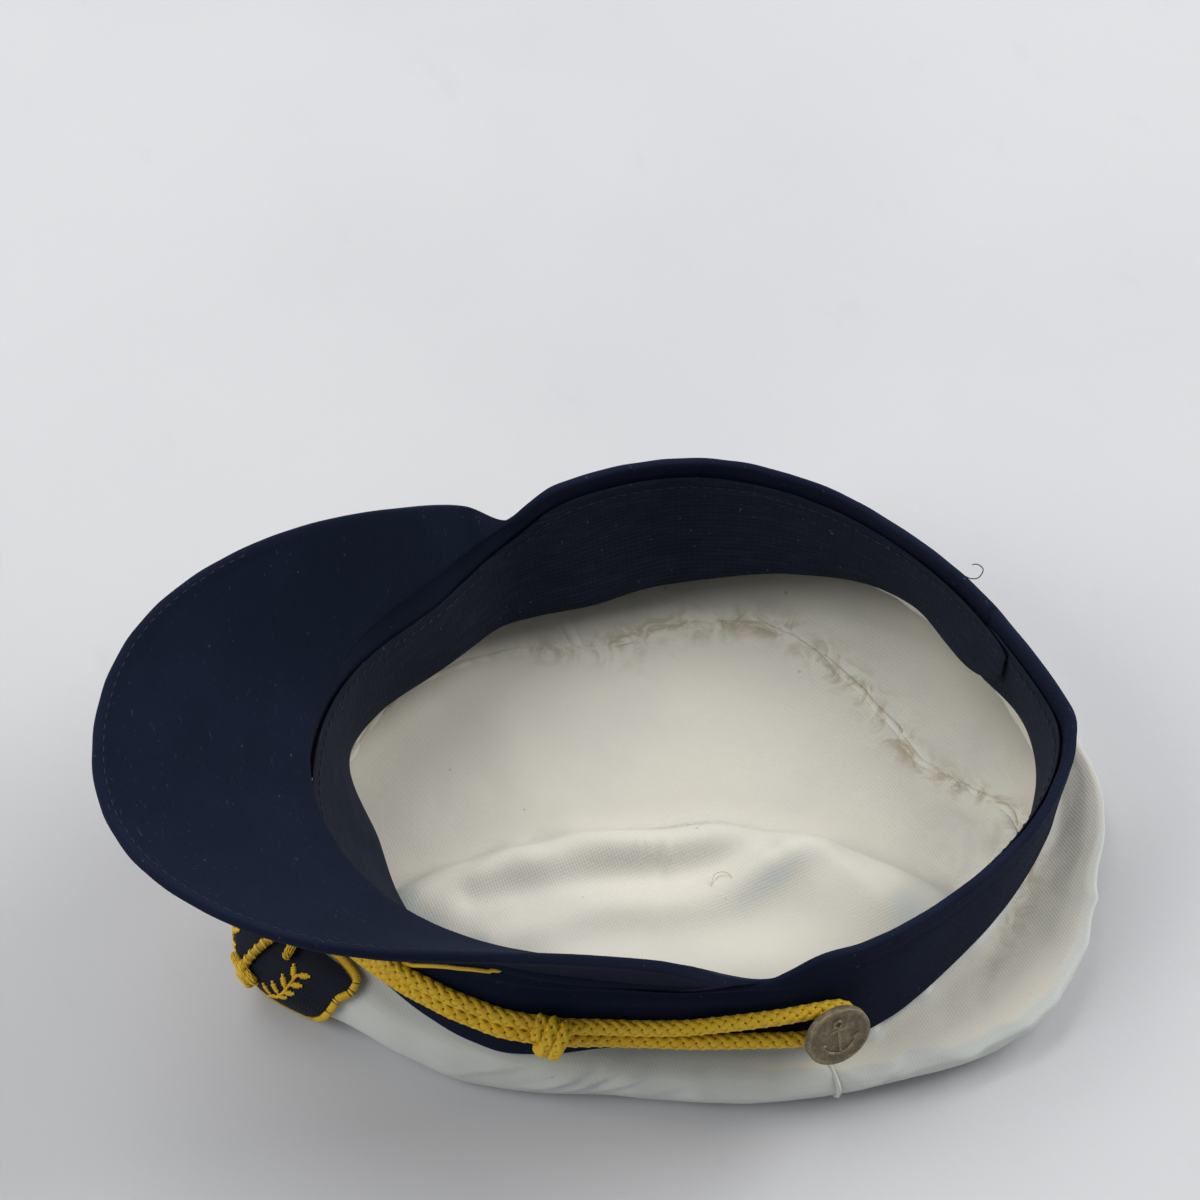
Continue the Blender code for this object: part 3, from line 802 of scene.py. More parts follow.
def step(value: Any, low: float, high: float) -> Any:
    """Smooth step from 0 at low to 1 at high."""
    share = np.clip((np.asarray(value, float) - low) / (high - low), 0, 1)
    return share * share * (3 - 2 * share)


def bell(value: Any, middle: float, width: float) -> Any:
    """Bell curve, 1 at the middle and about a third at the width."""
    return np.exp(-((np.asarray(value, float) - middle) / width) ** 2)


def apart(bearings: Points, middle: float) -> Points:
    """Degrees from a bearing, from -180 to 180."""
    return (bearings - middle + 180) % 360 - 180


def beside(points: Points, line: Sequence[tuple]) -> Points:
    """Distances in plan from a line of places, positive on its +X side.

    Args:
        points: places, one to a row.
        line: the line's places in plan.

    Returns:
        One signed distance for each point.
    """
    knots = [Vector((x, y, 0.0)) for x, y in line]
    track = np.array([catmull(knots, share) for share in np.linspace(0, 1, 90)])[:, :2]
    nearest = np.full(len(points), 9.0)
    signed = np.zeros(len(points))
    for a, b in zip(track, track[1:]):
        way = b - a
        share = np.clip(((points[:, :2] - a) @ way) / (way @ way), 0, 1)
        off = points[:, :2] - a - share[:, None] * way
        gap = np.hypot(off[:, 0], off[:, 1])
        turn = np.where(way[1] * off[:, 0] - way[0] * off[:, 1] > 0, 1.0, -1.0)
        closer = gap < nearest
        nearest = np.where(closer, gap, nearest)
        signed = np.where(closer, gap * turn, signed)
    return signed


def ripple(points: Points, size: float, seed: float, octaves: int = 2) -> Points:
    """Smooth noise at each point, from about -1 to 1.

    Args:
        points: places, one to a row.
        size: metres from one swell to the next.
        seed: moves the noise elsewhere.
        octaves: layers, each half the size.

    Returns:
        One number for each point.
    """
    shift = Vector((seed, seed * 1.7, -seed))
    return np.array([noise.fractal(Vector(p) / size + shift, 1.0, 2.0, octaves) for p in points])


def catmull(knots: Sequence[tuple], share: float) -> Vector:
    """A point on the smooth line through a few knots, share 0 to 1."""
    places = [Vector(k) for k in knots]
    t = share * (len(places) - 1)
    i = min(int(t), len(places) - 2)
    t -= i
    p0, p1, p2, p3 = places[max(i - 1, 0)], places[i], places[i + 1], places[min(i + 2, len(places) - 1)]
    return 0.5 * (2 * p1 + (p2 - p0) * t + (2 * p0 - 5 * p1 + 4 * p2 - p3) * t * t
                  + (3 * p1 - p0 - 3 * p2 + p3) * t ** 3)


class Surface:
    """A piece's surface, for finding places and normals on it."""

    def __init__(self, *objects: bpy.types.Object) -> None:
        """Reads the surface of some meshes.

        Args:
            objects: the meshes, which sit at the origin.
        """
        points, faces = [], []
        for obj in objects:
            start = len(points)
            points += [v.co.copy() for v in obj.data.vertices]
            faces += [[start + k for k in p.vertices] for p in obj.data.polygons]
        self.tree = BVHTree.FromPolygons(points, faces)

    def from_outside(self, bearing: float, height: float) -> tuple[Vector, Vector] | None:
        """The outermost place at a bearing and a height.

        Args:
            bearing: degrees.
            height: metres.

        Returns:
            The place and its normal, or None.
        """
        start = spot(0.25, bearing, height)
        way = (spot(0.0, bearing, height) - start).normalized()
        hit = self.tree.ray_cast(start, way)
        return (hit[0], hit[1]) if hit[0] is not None else None

    def below(self, x: float, y: float, start: float = 0.3) -> tuple[Vector, Vector] | None:
        """The first place straight below a point.

        Args:
            x: the point's place.
            y: the point's place.
            start: its height.

        Returns:
            The place and its normal, or None.
        """
        hit = self.tree.ray_cast(Vector((x, y, start)), Vector((0, 0, -1)))
        return (hit[0], hit[1]) if hit[0] is not None else None

    def nearest(self, point: Vector) -> tuple[Vector, Vector]:
        """The nearest place and its normal."""
        hit = self.tree.find_nearest(point)
        return hit[0], hit[1]


def even(points: Sequence[Vector], pitch: float, closed: bool = False) -> list[Vector]:
    """Points along a line at even distances.

    Args:
        points: the line.
        pitch: metres between the new points, about.
        closed: whether it joins its start.

    Returns:
        The new points.
    """
    line = [Vector(p) for p in points] + ([Vector(points[0])] if closed else [])
    gone = np.concatenate([[0], np.cumsum([(b - a).length for a, b in zip(line, line[1:])])])
    count = max(2, round(gone[-1] / pitch))
    goals = np.linspace(0, gone[-1], count, endpoint=False) if closed else np.linspace(0, gone[-1], count)
    table = np.array(line)
    return [Vector(p) for p in np.stack([np.interp(goals, gone, table[:, k]) for k in range(3)], axis=1)]


def calm(line: Sequence[Vector], rounds: int, closed: bool = False, weight: int = 2) -> list[Vector]:
    """Evens out a line's small steps.

    Args:
        line: the line.
        rounds: how many times each place is averaged with its neighbours.
        closed: whether it joins its start. The ends of an open line stay.
        weight: how much a place counts against each neighbour.

    Returns:
        The smoother line.
    """
    table = np.array(line, np.float32)
    for _ in range(rounds):
        after = (np.roll(table, 1, axis=0) + weight * table + np.roll(table, -1, axis=0)) / (weight + 2)
        if not closed:
            after[0], after[-1] = table[0], table[-1]
        table = after
    return [Vector(p) for p in table]


def rod(name: str, line: Sequence[Vector], wide: float, thick: float, sides: int = 8,
        closed: bool = False, up: Vector = UP, taper: float = 0.0) -> bpy.types.Object:
    """A rod of oval section along a line.

    Args:
        name: the piece's name.
        line: its centre line.
        wide: its width beside the line.
        thick: its height along the way up.
        sides: faces round it.
        closed: whether it joins its start.
        up: the way up.
        taper: share of the length over which an open rod grows at its ends.

    Returns:
        The rod as a closed mesh.
    """
    count = len(line)
    sections = []
    for i, here in enumerate(line):
        before = line[i - 1] if closed or i else here
        after = line[(i + 1) % count] if closed or i < count - 1 else here
        ahead = (after - before).normalized()
        over = (up - ahead * up.dot(ahead)).normalized()
        beside = ahead.cross(over)
        share = i / (count - 1)
        scale = min(1.0, math.sqrt(min(share, 1 - share) / taper + 0.02)) if taper and not closed else 1.0
        sections.append((here, over * thick / 2 * scale, beside * wide / 2 * scale))

    def place(a: float, b: float) -> Vector:
        """A point of the rod from its shares round and along."""
        here, over, beside = sections[round(b * (count if closed else count - 1)) % count]
        turn = 2 * math.pi * a
        return here + over * math.cos(turn) + beside * math.sin(turn)

    return Bench.sheet(name, sides, count if closed else count - 1, place, closed=True)


def stitches(name: str, places: Sequence[tuple[Vector, Vector, Vector]], length: float, thick: float,
             proud: float = 0.3) -> bpy.types.Object:
    """A row of stitches, one modelled and copied.

    Args:
        name: the piece's name.
        places: for each stitch its place, the way along it and the way out of the cloth.
        length: its length.
        thick: its thread's diameter.
        proud: how far its middle stands out, as a share of the thread.

    Returns:
        The stitches as one mesh.
    """
    bpy.ops.mesh.primitive_uv_sphere_add(segments=6, ring_count=6, radius=0.5)
    one = bpy.context.active_object
    with Bench.editing(one):
        bpy.ops.transform.rotate(value=math.pi / 2, orient_axis="Y", center_override=(0, 0, 0))
        bpy.ops.transform.resize(value=(length, thick, thick))
    shape = Bench.points(one)
    shape[:, 2] -= 0.6 * thick * (2 * shape[:, 0] / length) ** 2
    faces = [list(p.vertices) for p in one.data.polygons]
    bpy.data.objects.remove(one, do_unlink=True)
    points, polygons = [], []
    for here, along, out in places:
        out = out.normalized()
        along = (along - out * along.dot(out)).normalized()
        turned = np.array(Matrix((along, out.cross(along), out)).transposed())
        start = len(points)
        points += list(shape @ turned.T + np.array(here + out * thick * proud))
        polygons += [[start + k for k in face] for face in faces]
    mesh = bpy.data.meshes.new(name)
    mesh.from_pydata([tuple(p) for p in points], [], polygons)
    obj = bpy.data.objects.new(name, mesh)
    bpy.context.scene.collection.objects.link(obj)
    return obj


@dataclass(frozen=True)
class Panel:
    """A soft light: where it hangs, its watts, its colour and its side."""

    name: str
    place: tuple
    power: float
    colour: tuple
    size: float = 1.6

    def hang(self) -> None:
        """Hangs the panel, aimed at the cap."""
        data = bpy.data.lights.new(self.name, "AREA")
        data.shape, data.size = "SQUARE", self.size
        data.energy, data.color = self.power, self.colour
        obj = bpy.data.objects.new(self.name, data)
        obj.location = self.place
        obj.rotation_euler = Vector(self.place).to_track_quat("Z", "Y").to_euler()
        bpy.context.scene.collection.objects.link(obj)


@dataclass
class Studio:
    """Floor, lights and camera."""

    target: tuple = (-0.07989, 0.035546, 0.0)
    azimuth: float = 65.7
    elevation: float = 51.0
    distance: float = 1.0
    lens: float = 105.0
    sensor: float = 36.0
    floor: float = 6.0
    floor_drop: float = 0.0002
    panels: tuple = (
        Panel("window", (-1.3, -0.3, 1.8), 22.0, (1.0, 0.995, 0.98)),
        Panel("right", (0.0, 2.0, 1.25), 40.0, (1.0, 0.995, 0.98)),
        Panel("left", (-0.5, -2.0, 1.5), 28.0, (1.0, 0.99, 0.97)),
    )
    air: tuple = (0.90, 0.92, 0.96, 1.0)
    air_strength: float = 0.30

    def build(self) -> None:
        """Makes the camera, the floor and the lights."""
        self.camera()
        bpy.ops.mesh.primitive_circle_add(vertices=96, radius=self.floor, fill_type="NGON",
                                          location=(0, 0, -self.floor_drop))
        ground = bpy.context.active_object
        ground.name = ground.data.name = "floor"
        Bench.settle(ground)
        ground.data.materials.append(FloorPaper().material())
        for panel in self.panels:
            panel.hang()
        world = bpy.data.worlds.new("studio")
        world.use_nodes = True
        background = world.node_tree.nodes["Background"]
        background.inputs["Color"].default_value = self.air
        background.inputs["Strength"].default_value = self.air_strength
        bpy.context.scene.world = world
        bpy.context.scene.view_settings.view_transform = "Standard"

    def camera(self) -> None:
        """Sets the camera at the photograph's angle."""
        turn, lift = math.radians(self.azimuth), math.radians(self.elevation)
        back = Vector((math.sin(turn) * math.cos(lift), -math.cos(turn) * math.cos(lift), math.sin(lift)))
        data = bpy.data.cameras.new("camera")
        data.lens, data.sensor_width = self.lens, self.sensor
        data.clip_end = 50.0
        camera = bpy.data.objects.new("camera", data)
        camera.location = Vector(self.target) + back * self.distance
        camera.rotation_euler = back.to_track_quat("Z", "Y").to_euler()
        bpy.context.scene.collection.objects.link(camera)
        bpy.context.scene.camera = camera


@dataclass
class Crown:
    """White crown: two side panels, the tip that is now the floor, and their seams.

    The long fold's crest, the valley behind it and the second fold are lines in plan. Each pucker is a
    bearing and its strength.
    """

    swell: float = 0.0011
    gather: float = 0.0007
    crest_height: float = 0.0034
    valley_depth: float = 0.0024
    second_height: float = 0.0026
    pucker_height: float = 0.0014
    pucker_dip: float = 0.0008
    pucker_slant: float = 1100.0
    crease_height: float = 0.0018
    puckers: tuple = ((37, 0.3), (49, 0.8), (53.5, 1.1), (58, 0.8), (67, 0.4), (100, 0.6), (113, 0.4))
    seam_reach: float = 0.006
    seam_width: float = 0.0024
    seam_height: float = 0.0011
    side_ridge: float = 0.0013
    felled: float = 0.0034
    wall: float = 0.0015
    crest: tuple = ((-0.0045, -0.056), (-0.0045, -0.042), (-0.003, -0.028), (0.0, -0.012), (0.004, 0.0035),
                    (0.0107, 0.024), (0.018, 0.038), (0.0275, 0.0515), (0.038, 0.061), (0.049, 0.070),
                    (0.056, 0.075))
    valley: tuple = ((0.006, -0.040), (0.012, -0.010), (0.019, 0.011), (0.0225, 0.025), (0.0235, 0.037))
    second: tuple = ((0.021, -0.040), (0.024, -0.010), (0.031, 0.011), (0.032, 0.023), (0.029, 0.037),
                     (0.0285, 0.052))

    def build(self) -> None:
        """Builds the panels and seams."""
        self.read_seam()
        material = WhiteCotton().material()
        panels = []
        for node in ("crown_front", "crown_back", "crown_tip"):
            obj = Bench.copy_node(node, node.replace("crown", "cotton"), levels=2, firm=1)
            Bench.put(obj, self.shape(Bench.points(obj)))
            self.mark(obj)
            Bench.lay_cloth(obj, self.spread)
            Bench.dress(obj, material, Slot.COTTON, node)
            panels.append(obj)
        self.panels = Surface(*panels)
        self.tip_seam(material)
        for side in Side:
            self.inner_seam(side, material)
            self.side_seam(side, material)

    def read_seam(self) -> None:
        """Finds the tip's seam from the frame: its distance from the axis at each bearing."""
        edge = np.array([v.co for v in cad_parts["crown_tip"].data.vertices])
        bearings, radii = polar(edge)
        table = []
        for station in np.arange(-180, 180, 7.5):
            near = np.abs(apart(bearings, station)) < 2.5
            if near.any():
                table.append((station, radii[near].max()))
        self.stations, self.radii = (np.array(column) for column in zip(*table))

    def seam_radius(self, bearings: Points) -> Points:
        """The seam's distance from the axis at some bearings."""
        return np.interp(bearings, self.stations, self.radii, period=360)

    def shape(self, points: Points) -> Points:
        """Wrinkles, puckers and swells of the cloth, the same for both faces of its wall.

        Args:
            points: places on a panel.

        Returns:
            Their new places.
        """
        bearings, radii = polar(points)
        heights = points[:, 2]
        away = radii - self.seam_radius(bearings)
        floor = step(heights, 0.009, 0.003)
        arc = np.radians(bearings) * radii
        wave = np.sin(arc / 0.0042 + 2.5 * ripple(points, 0.03, 4.0, 1)) * 0.5 + 0.5
        gathers = wave * bell(away, 0, self.seam_reach) * (0.55 + 0.45 * ripple(points, 0.05, 9.0, 1))
        lift = np.maximum(0, ripple(points, 0.050, 2.0)) * self.swell * 1.6
        small = np.maximum(0, ripple(points, 0.014, 6.0)) * 0.0004
        moved = points.copy()
        moved[:, 2] += floor * (gathers * self.gather * 1.6 + lift + small)
        moved[:, 2] += self.folds(points) * step(away, -0.003, -0.016) * step(heights, 0.020, 0.013)
        moved[:, 2] = np.maximum(moved[:, 2], 0.0)
        amount = self.bulges(points, bearings) * step(radii, 0.080, 0.086)
        amount += self.pinches(bearings, heights)
        return push(moved, (1 - floor) * step(heights, 0.020, 0.012) * amount)

    def bulges(self, points: Points, bearings: Points) -> Points:
        """How far the sides swell, pucker and crease.

        Args:
            points: places on a panel.
            bearings: their bearings.

        Returns:
            One distance outwards for each place.
        """
        heights = points[:, 2]
        broad = ripple(points, 0.045, 12.0) * self.swell + ripple(points, 0.016, 15.0) * 0.00025
        low = bell(heights, 0.012, 0.0065)
        for where, strength in self.puckers:
            run = apart(np.abs(bearings), where + (heights - 0.013) * self.pucker_slant)
            broad = broad + strength * self.pucker_height * bell(run, 0, 1.9) * low
            broad = broad - strength * self.pucker_dip * bell(run, 2.9, 1.6) * low
        slanted = points * np.array([1.0, 1.0, 0.45]) + np.array([0, 0.35, 0]) * points[:, 2:3]
        creases = np.maximum(0, 0.75 - 2 * np.abs(ripple(slanted, 0.017, 18.0, 1)))
        return broad + creases * self.crease_height * (0.35 + 0.65 * bell(heights, 0.013, 0.006))

    @staticmethod
    def pinches(bearings: Points, heights: Points) -> Points:
        """The dent that the near knot presses into the cloth, and the swell beside it."""
        dent = -0.0016 * bell(apart(bearings, 52), 0, 3.2) * bell(heights, 0.015, 0.004)
        return dent + 0.0010 * bell(apart(bearings, 58), 0, 3.5) * bell(heights, 0.013, 0.004)

    def folds(self, points: Points) -> Points:
        """Heights added by the long fold's sharp crest, the hollow behind it and the second fold.

        Args:
            points: places on a panel.

        Returns:
            One height for each place.
        """
        near = beside(points, self.crest)
        height = self.crest_height * np.where(near > 0, bell(near, 0, 0.011), bell(near, 0, 0.0042))
        height -= self.valley_depth * bell(beside(points, self.valley), 0, 0.0048)
        height += self.second_height * bell(beside(points, self.second), 0, 0.0062)
        return height - 0.0010 * bell(near, -0.012, 0.006)

    def mark(self, obj: bpy.types.Object) -> None:
        """Keeps on a panel where its inner face, its stained seam and its soiled patch are.

        Args:
            obj: the panel.
        """
        points, normals = Bench.points(obj), Bench.normals(obj)
        bearings, radii = polar(points)
        middle = np.array([AXIS.x, AXIS.y, 0.03])
        facing = ((middle - points) * normals).sum(axis=1)
        # the inner face keeps the cotton's own colour; the outer face gets the painted shade
        Bench.keep(obj, "inner", step(facing, -0.004, 0.004))
        away = radii - self.seam_radius(bearings)
        stained = step(np.abs(apart(bearings, 205)), 95, 55)
        Bench.keep(obj, "seam", bell(away, 0, 0.0055) * stained * step(facing, -0.002, 0.002))
        soil = bell(apart(bearings, 150), 0, 26) * bell(radii, 0.084, 0.016)
        soil += bell(apart(bearings, 235), 0, 30) * bell(radii, 0.075, 0.010) * 0.8
        Bench.keep(obj, "soil", soil * step(facing, -0.002, 0.002))

    @staticmethod
    def spread(points: Points, normals: Points) -> Points:
        """Distances that the weave follows: in plan on the floor, round and up on the sides."""
        bearings, _ = polar(points)
        flat = (np.abs(normals[:, 2]) > 0.75)[:, None]
        round_up = np.stack([np.radians(bearings) * 0.1, points[:, 2]], axis=1)
        return np.where(flat, points[:, :2], round_up)

    def tip_seam(self, material: bpy.types.Material) -> None:
        """The narrow, uneven seam allowance that stands along the tip's seam.

        Args:
            material: the cotton.
        """
        line = []
        for bearing in np.arange(-180, 180, 1.0):
            radius = float(self.seam_radius(np.array([bearing]))[0])
            place = spot(radius + 0.0006 * noise.noise(Vector((bearing * 0.12, 3.0, 0.0))), bearing, 0.0)
            hit = self.panels.below(place.x, place.y, 0.0065)
            floor = hit[0].z if hit is not None and hit[0].z > 0.0008 else self.wall
            height = floor + 0.00035 * noise.noise(Vector((bearing * 0.35, 8.0, 0.0)))
            line.append(Vector((place.x, place.y, height)))
        line = even(calm(line, 1, True, 1), 0.0011, True)
        obj = rod("tip_seam", line, self.seam_width, self.seam_height, closed=True)
        points = Bench.points(obj)
        points[:, 2] += ripple(points, 0.004, 21.0) * 0.00028
        points[:, 0] += ripple(points, 0.006, 23.0, 1) * 0.0004
        points[:, 1] += ripple(points, 0.006, 25.0, 1) * 0.0004
        Bench.put(obj, points)
        bearings, _ = polar(points)
        Bench.keep(obj, "inner", 1.0)
        Bench.keep(obj, "seam", 0.25 + 0.75 * step(np.abs(apart(bearings, 205)), 100, 60))
        Bench.lay_cloth(obj, self.spread)
        Bench.dress(obj, material, Slot.COTTON)

    def side_seam(self, side: Side, material: bpy.types.Material) -> None:
        """The fine ridge where the two side panels meet.

        Args:
            side: which side.
            material: the cotton.
        """
        bearing = 90.0 * side.value
        line = []
        for height in np.linspace(0.0175, 0.0006, 26):
            hits = [self.panels.from_outside(bearing + off, float(height)) for off in (-0.5, 0.5)]
            if all(hits) and all((hit[0].x - AXIS.x) * side.value > 0.05 for hit in hits):
                line.append((hits[0][0] + hits[1][0]) / 2)
        smoothed = [catmull(line[::5] + [line[-1]], s) for s in np.linspace(0, 1, 34)]
        obj = rod(f"side_seam_{side.name.lower()}", smoothed, self.side_ridge, self.side_ridge * 1.25,
                  up=outward(bearing), taper=0.06)
        points = Bench.points(obj)
        points[:, 1] += ripple(points, 0.005, 31.0, 1) * 0.00022
        Bench.put(obj, points)
        Bench.lay_cloth(obj, self.spread)
        Bench.dress(obj, material, Slot.COTTON)

    def inner_seam(self, side: Side, material: bpy.types.Material) -> None:
        """The same seam seen from inside the hollow, from the tip's seam up the wall.

        Args:
            side: which side.
            material: the cotton.
        """
        bearing = 90.0 * side.value
        start = float(self.seam_radius(np.array([bearing]))[0]) - 0.004
        line = []
        for lift in np.radians(np.arange(-70, 46, 6)):
            hits = []
            for off in (-1.3, 1.3):
                way = outward(bearing + off) * math.cos(lift) + UP * math.sin(lift)
                hits.append(self.panels.tree.ray_cast(spot(start, bearing + off, 0.0075), way, 0.05)[0])
            if all(hit is not None for hit in hits):
                line.append((hits[0] + hits[1]) / 2)
        smoothed = even([catmull(line, share) for share in np.linspace(0, 1, 60)], 0.0009)
        obj = rod(f"inner_seam_{side.name.lower()}", smoothed, self.felled, self.felled * 0.3,
                  up=UP - outward(bearing), taper=0.05)
        Bench.keep(obj, "inner", 1.0)
        Bench.lay_cloth(obj, self.spread)
        Bench.dress(obj, material, Slot.COTTON)


@dataclass
class Headband:
    """Navy band, folded over at the rim, with the ribbed sweatband inside it."""

    rim: float = 0.050
    rise: float = 0.06
    seam_swell: float = 0.0074
    edge_stitch: float = 0.0026
    stitch: float = 0.0024
    pitch: float = 0.0034
    thread: float = 0.00042

    def build(self) -> None:
        """Builds the band, the sweatband and their stitches."""
        navy = NavyTwill().material()
        band = Bench.copy_node("band", "navy_band", levels=2, firm=1)
        Bench.put(band, self.shape_band(Bench.points(band)))
        self.mark(band, 0.0035)
        Bench.lay_cloth(band, self.spread)
        Bench.dress(band, navy, Slot.WOOL, "band")
        lining = Bench.copy_node("sweatband", "sweatband_tape", levels=3)
        Bench.put(lining, self.shape_lining(Bench.points(lining)))
        self.mark(lining, 0.0025)
        Bench.lay_cloth(lining, self.spread)
        Bench.dress(lining, LiningRib().material(), Slot.LINING, "sweatband")
        self.sewing(Surface(lining), PlainThread("navy_thread", (0.006, 0.009, 0.024)).material())

    def plane(self, radii: Points, bearings: Points) -> Points:
        """Heights of the rim's plane, which rises to the front."""
        return self.rim + self.rise * radii * np.cos(np.radians(bearings))

    def shape_band(self, points: Points) -> Points:
        """Creases and slight swells of the band.

        Args:
            points: places on the band.

        Returns:
            Their new places.
        """
        bearings, radii = polar(points)
        below = self.plane(radii, bearings) - points[:, 2]
        outer = ripple(points, 0.035, 40.0) * 0.0005 + ripple(points, 0.011, 42.0) * 0.00012
        crease = -0.0011 * bell(below, 0.0105, 0.0016) * step(np.abs(apart(bearings, 55)), 34, 20)
        crease += 0.0008 * bell(below, 0.0075, 0.0022) * step(np.abs(apart(bearings, 58)), 36, 22)
        crease += -0.0007 * bell(below, 0.017, 0.002) * bell(apart(bearings, 62), 0, 14)
        roll = -0.00030 * bell(below, 0.0062, 0.0009)
        fade = step(below, 0.0365, 0.030)
        moved = push(points, (outer + crease) * fade + roll)
        moved[:, 2] += ripple(points, 0.018, 44.0) * 0.00035 * step(below, 0.004, 0.0)
        return moved

    def shape_lining(self, points: Points) -> Points:
        """The slack of the tape and the sewn line at its top.

        Args:
            points: places on the sweatband.

        Returns:
            Their new places.
        """
        bearings, radii = polar(points)
        below = self.plane(radii, bearings) - points[:, 2]
        loose = step(below, 0.009, 0.030)
        amount = ripple(points, 0.028, 50.0) * 0.0009 * loose
        amount += 0.00035 * bell(below, self.seam_swell, 0.0008)
        moved = push(points, amount)
        moved[:, 2] += ripple(points, 0.02, 52.0, 1) * 0.0005 * loose
        return moved

    def mark(self, obj: bpy.types.Object, reach: float) -> None:
        """Keeps on a piece how worn it is, most along its upper edge.

        Args:
            obj: the piece.
            reach: how far down the wear goes.
        """
        points = Bench.points(obj)
        bearings, radii = polar(points)
        below = self.plane(radii, bearings) - points[:, 2]
        Bench.keep(obj, "wear", step(below, reach, 0.0) * (0.5 + 0.5 * ripple(points, 0.02, 60.0)))

    @staticmethod
    def spread(points: Points, normals: Points) -> Points:
        """Distances round and up, that the weave follows."""
        bearings, _ = polar(points)
        return np.stack([np.radians(bearings) * 0.09, points[:, 2]], axis=1)

    def sewing(self, lining: Surface, material: bpy.types.Material) -> None:
        """The row of stitches along the sweatband's upper edge.

        Args:
            lining: the sweatband's surface.
            material: the thread.
        """
        line = []
        for bearing in np.arange(-180, 180, 1.0):
            for height in np.arange(0.060, 0.030, -0.0005):
                inside = spot(0.02, bearing, float(height))
                ahead = (spot(0.2, bearing, float(height)) - inside).normalized()
                if lining.tree.ray_cast(inside, ahead)[0] is not None:
                    inside.z -= self.edge_stitch
                    line.append(lining.tree.ray_cast(inside, ahead)[0])
                    break
        line = even(calm(line, 4, True, 1), self.pitch, True)
        places = []
        for i, here in enumerate(line):
            out = Vector((AXIS.x - here.x, AXIS.y - here.y, 0))
            places.append((here, line[(i + 1) % len(line)] - line[i - 1], out))
        obj = stitches("sweatband_stitches", places, self.stitch, self.thread)
        Bench.dress(obj, material, Slot.LINING)


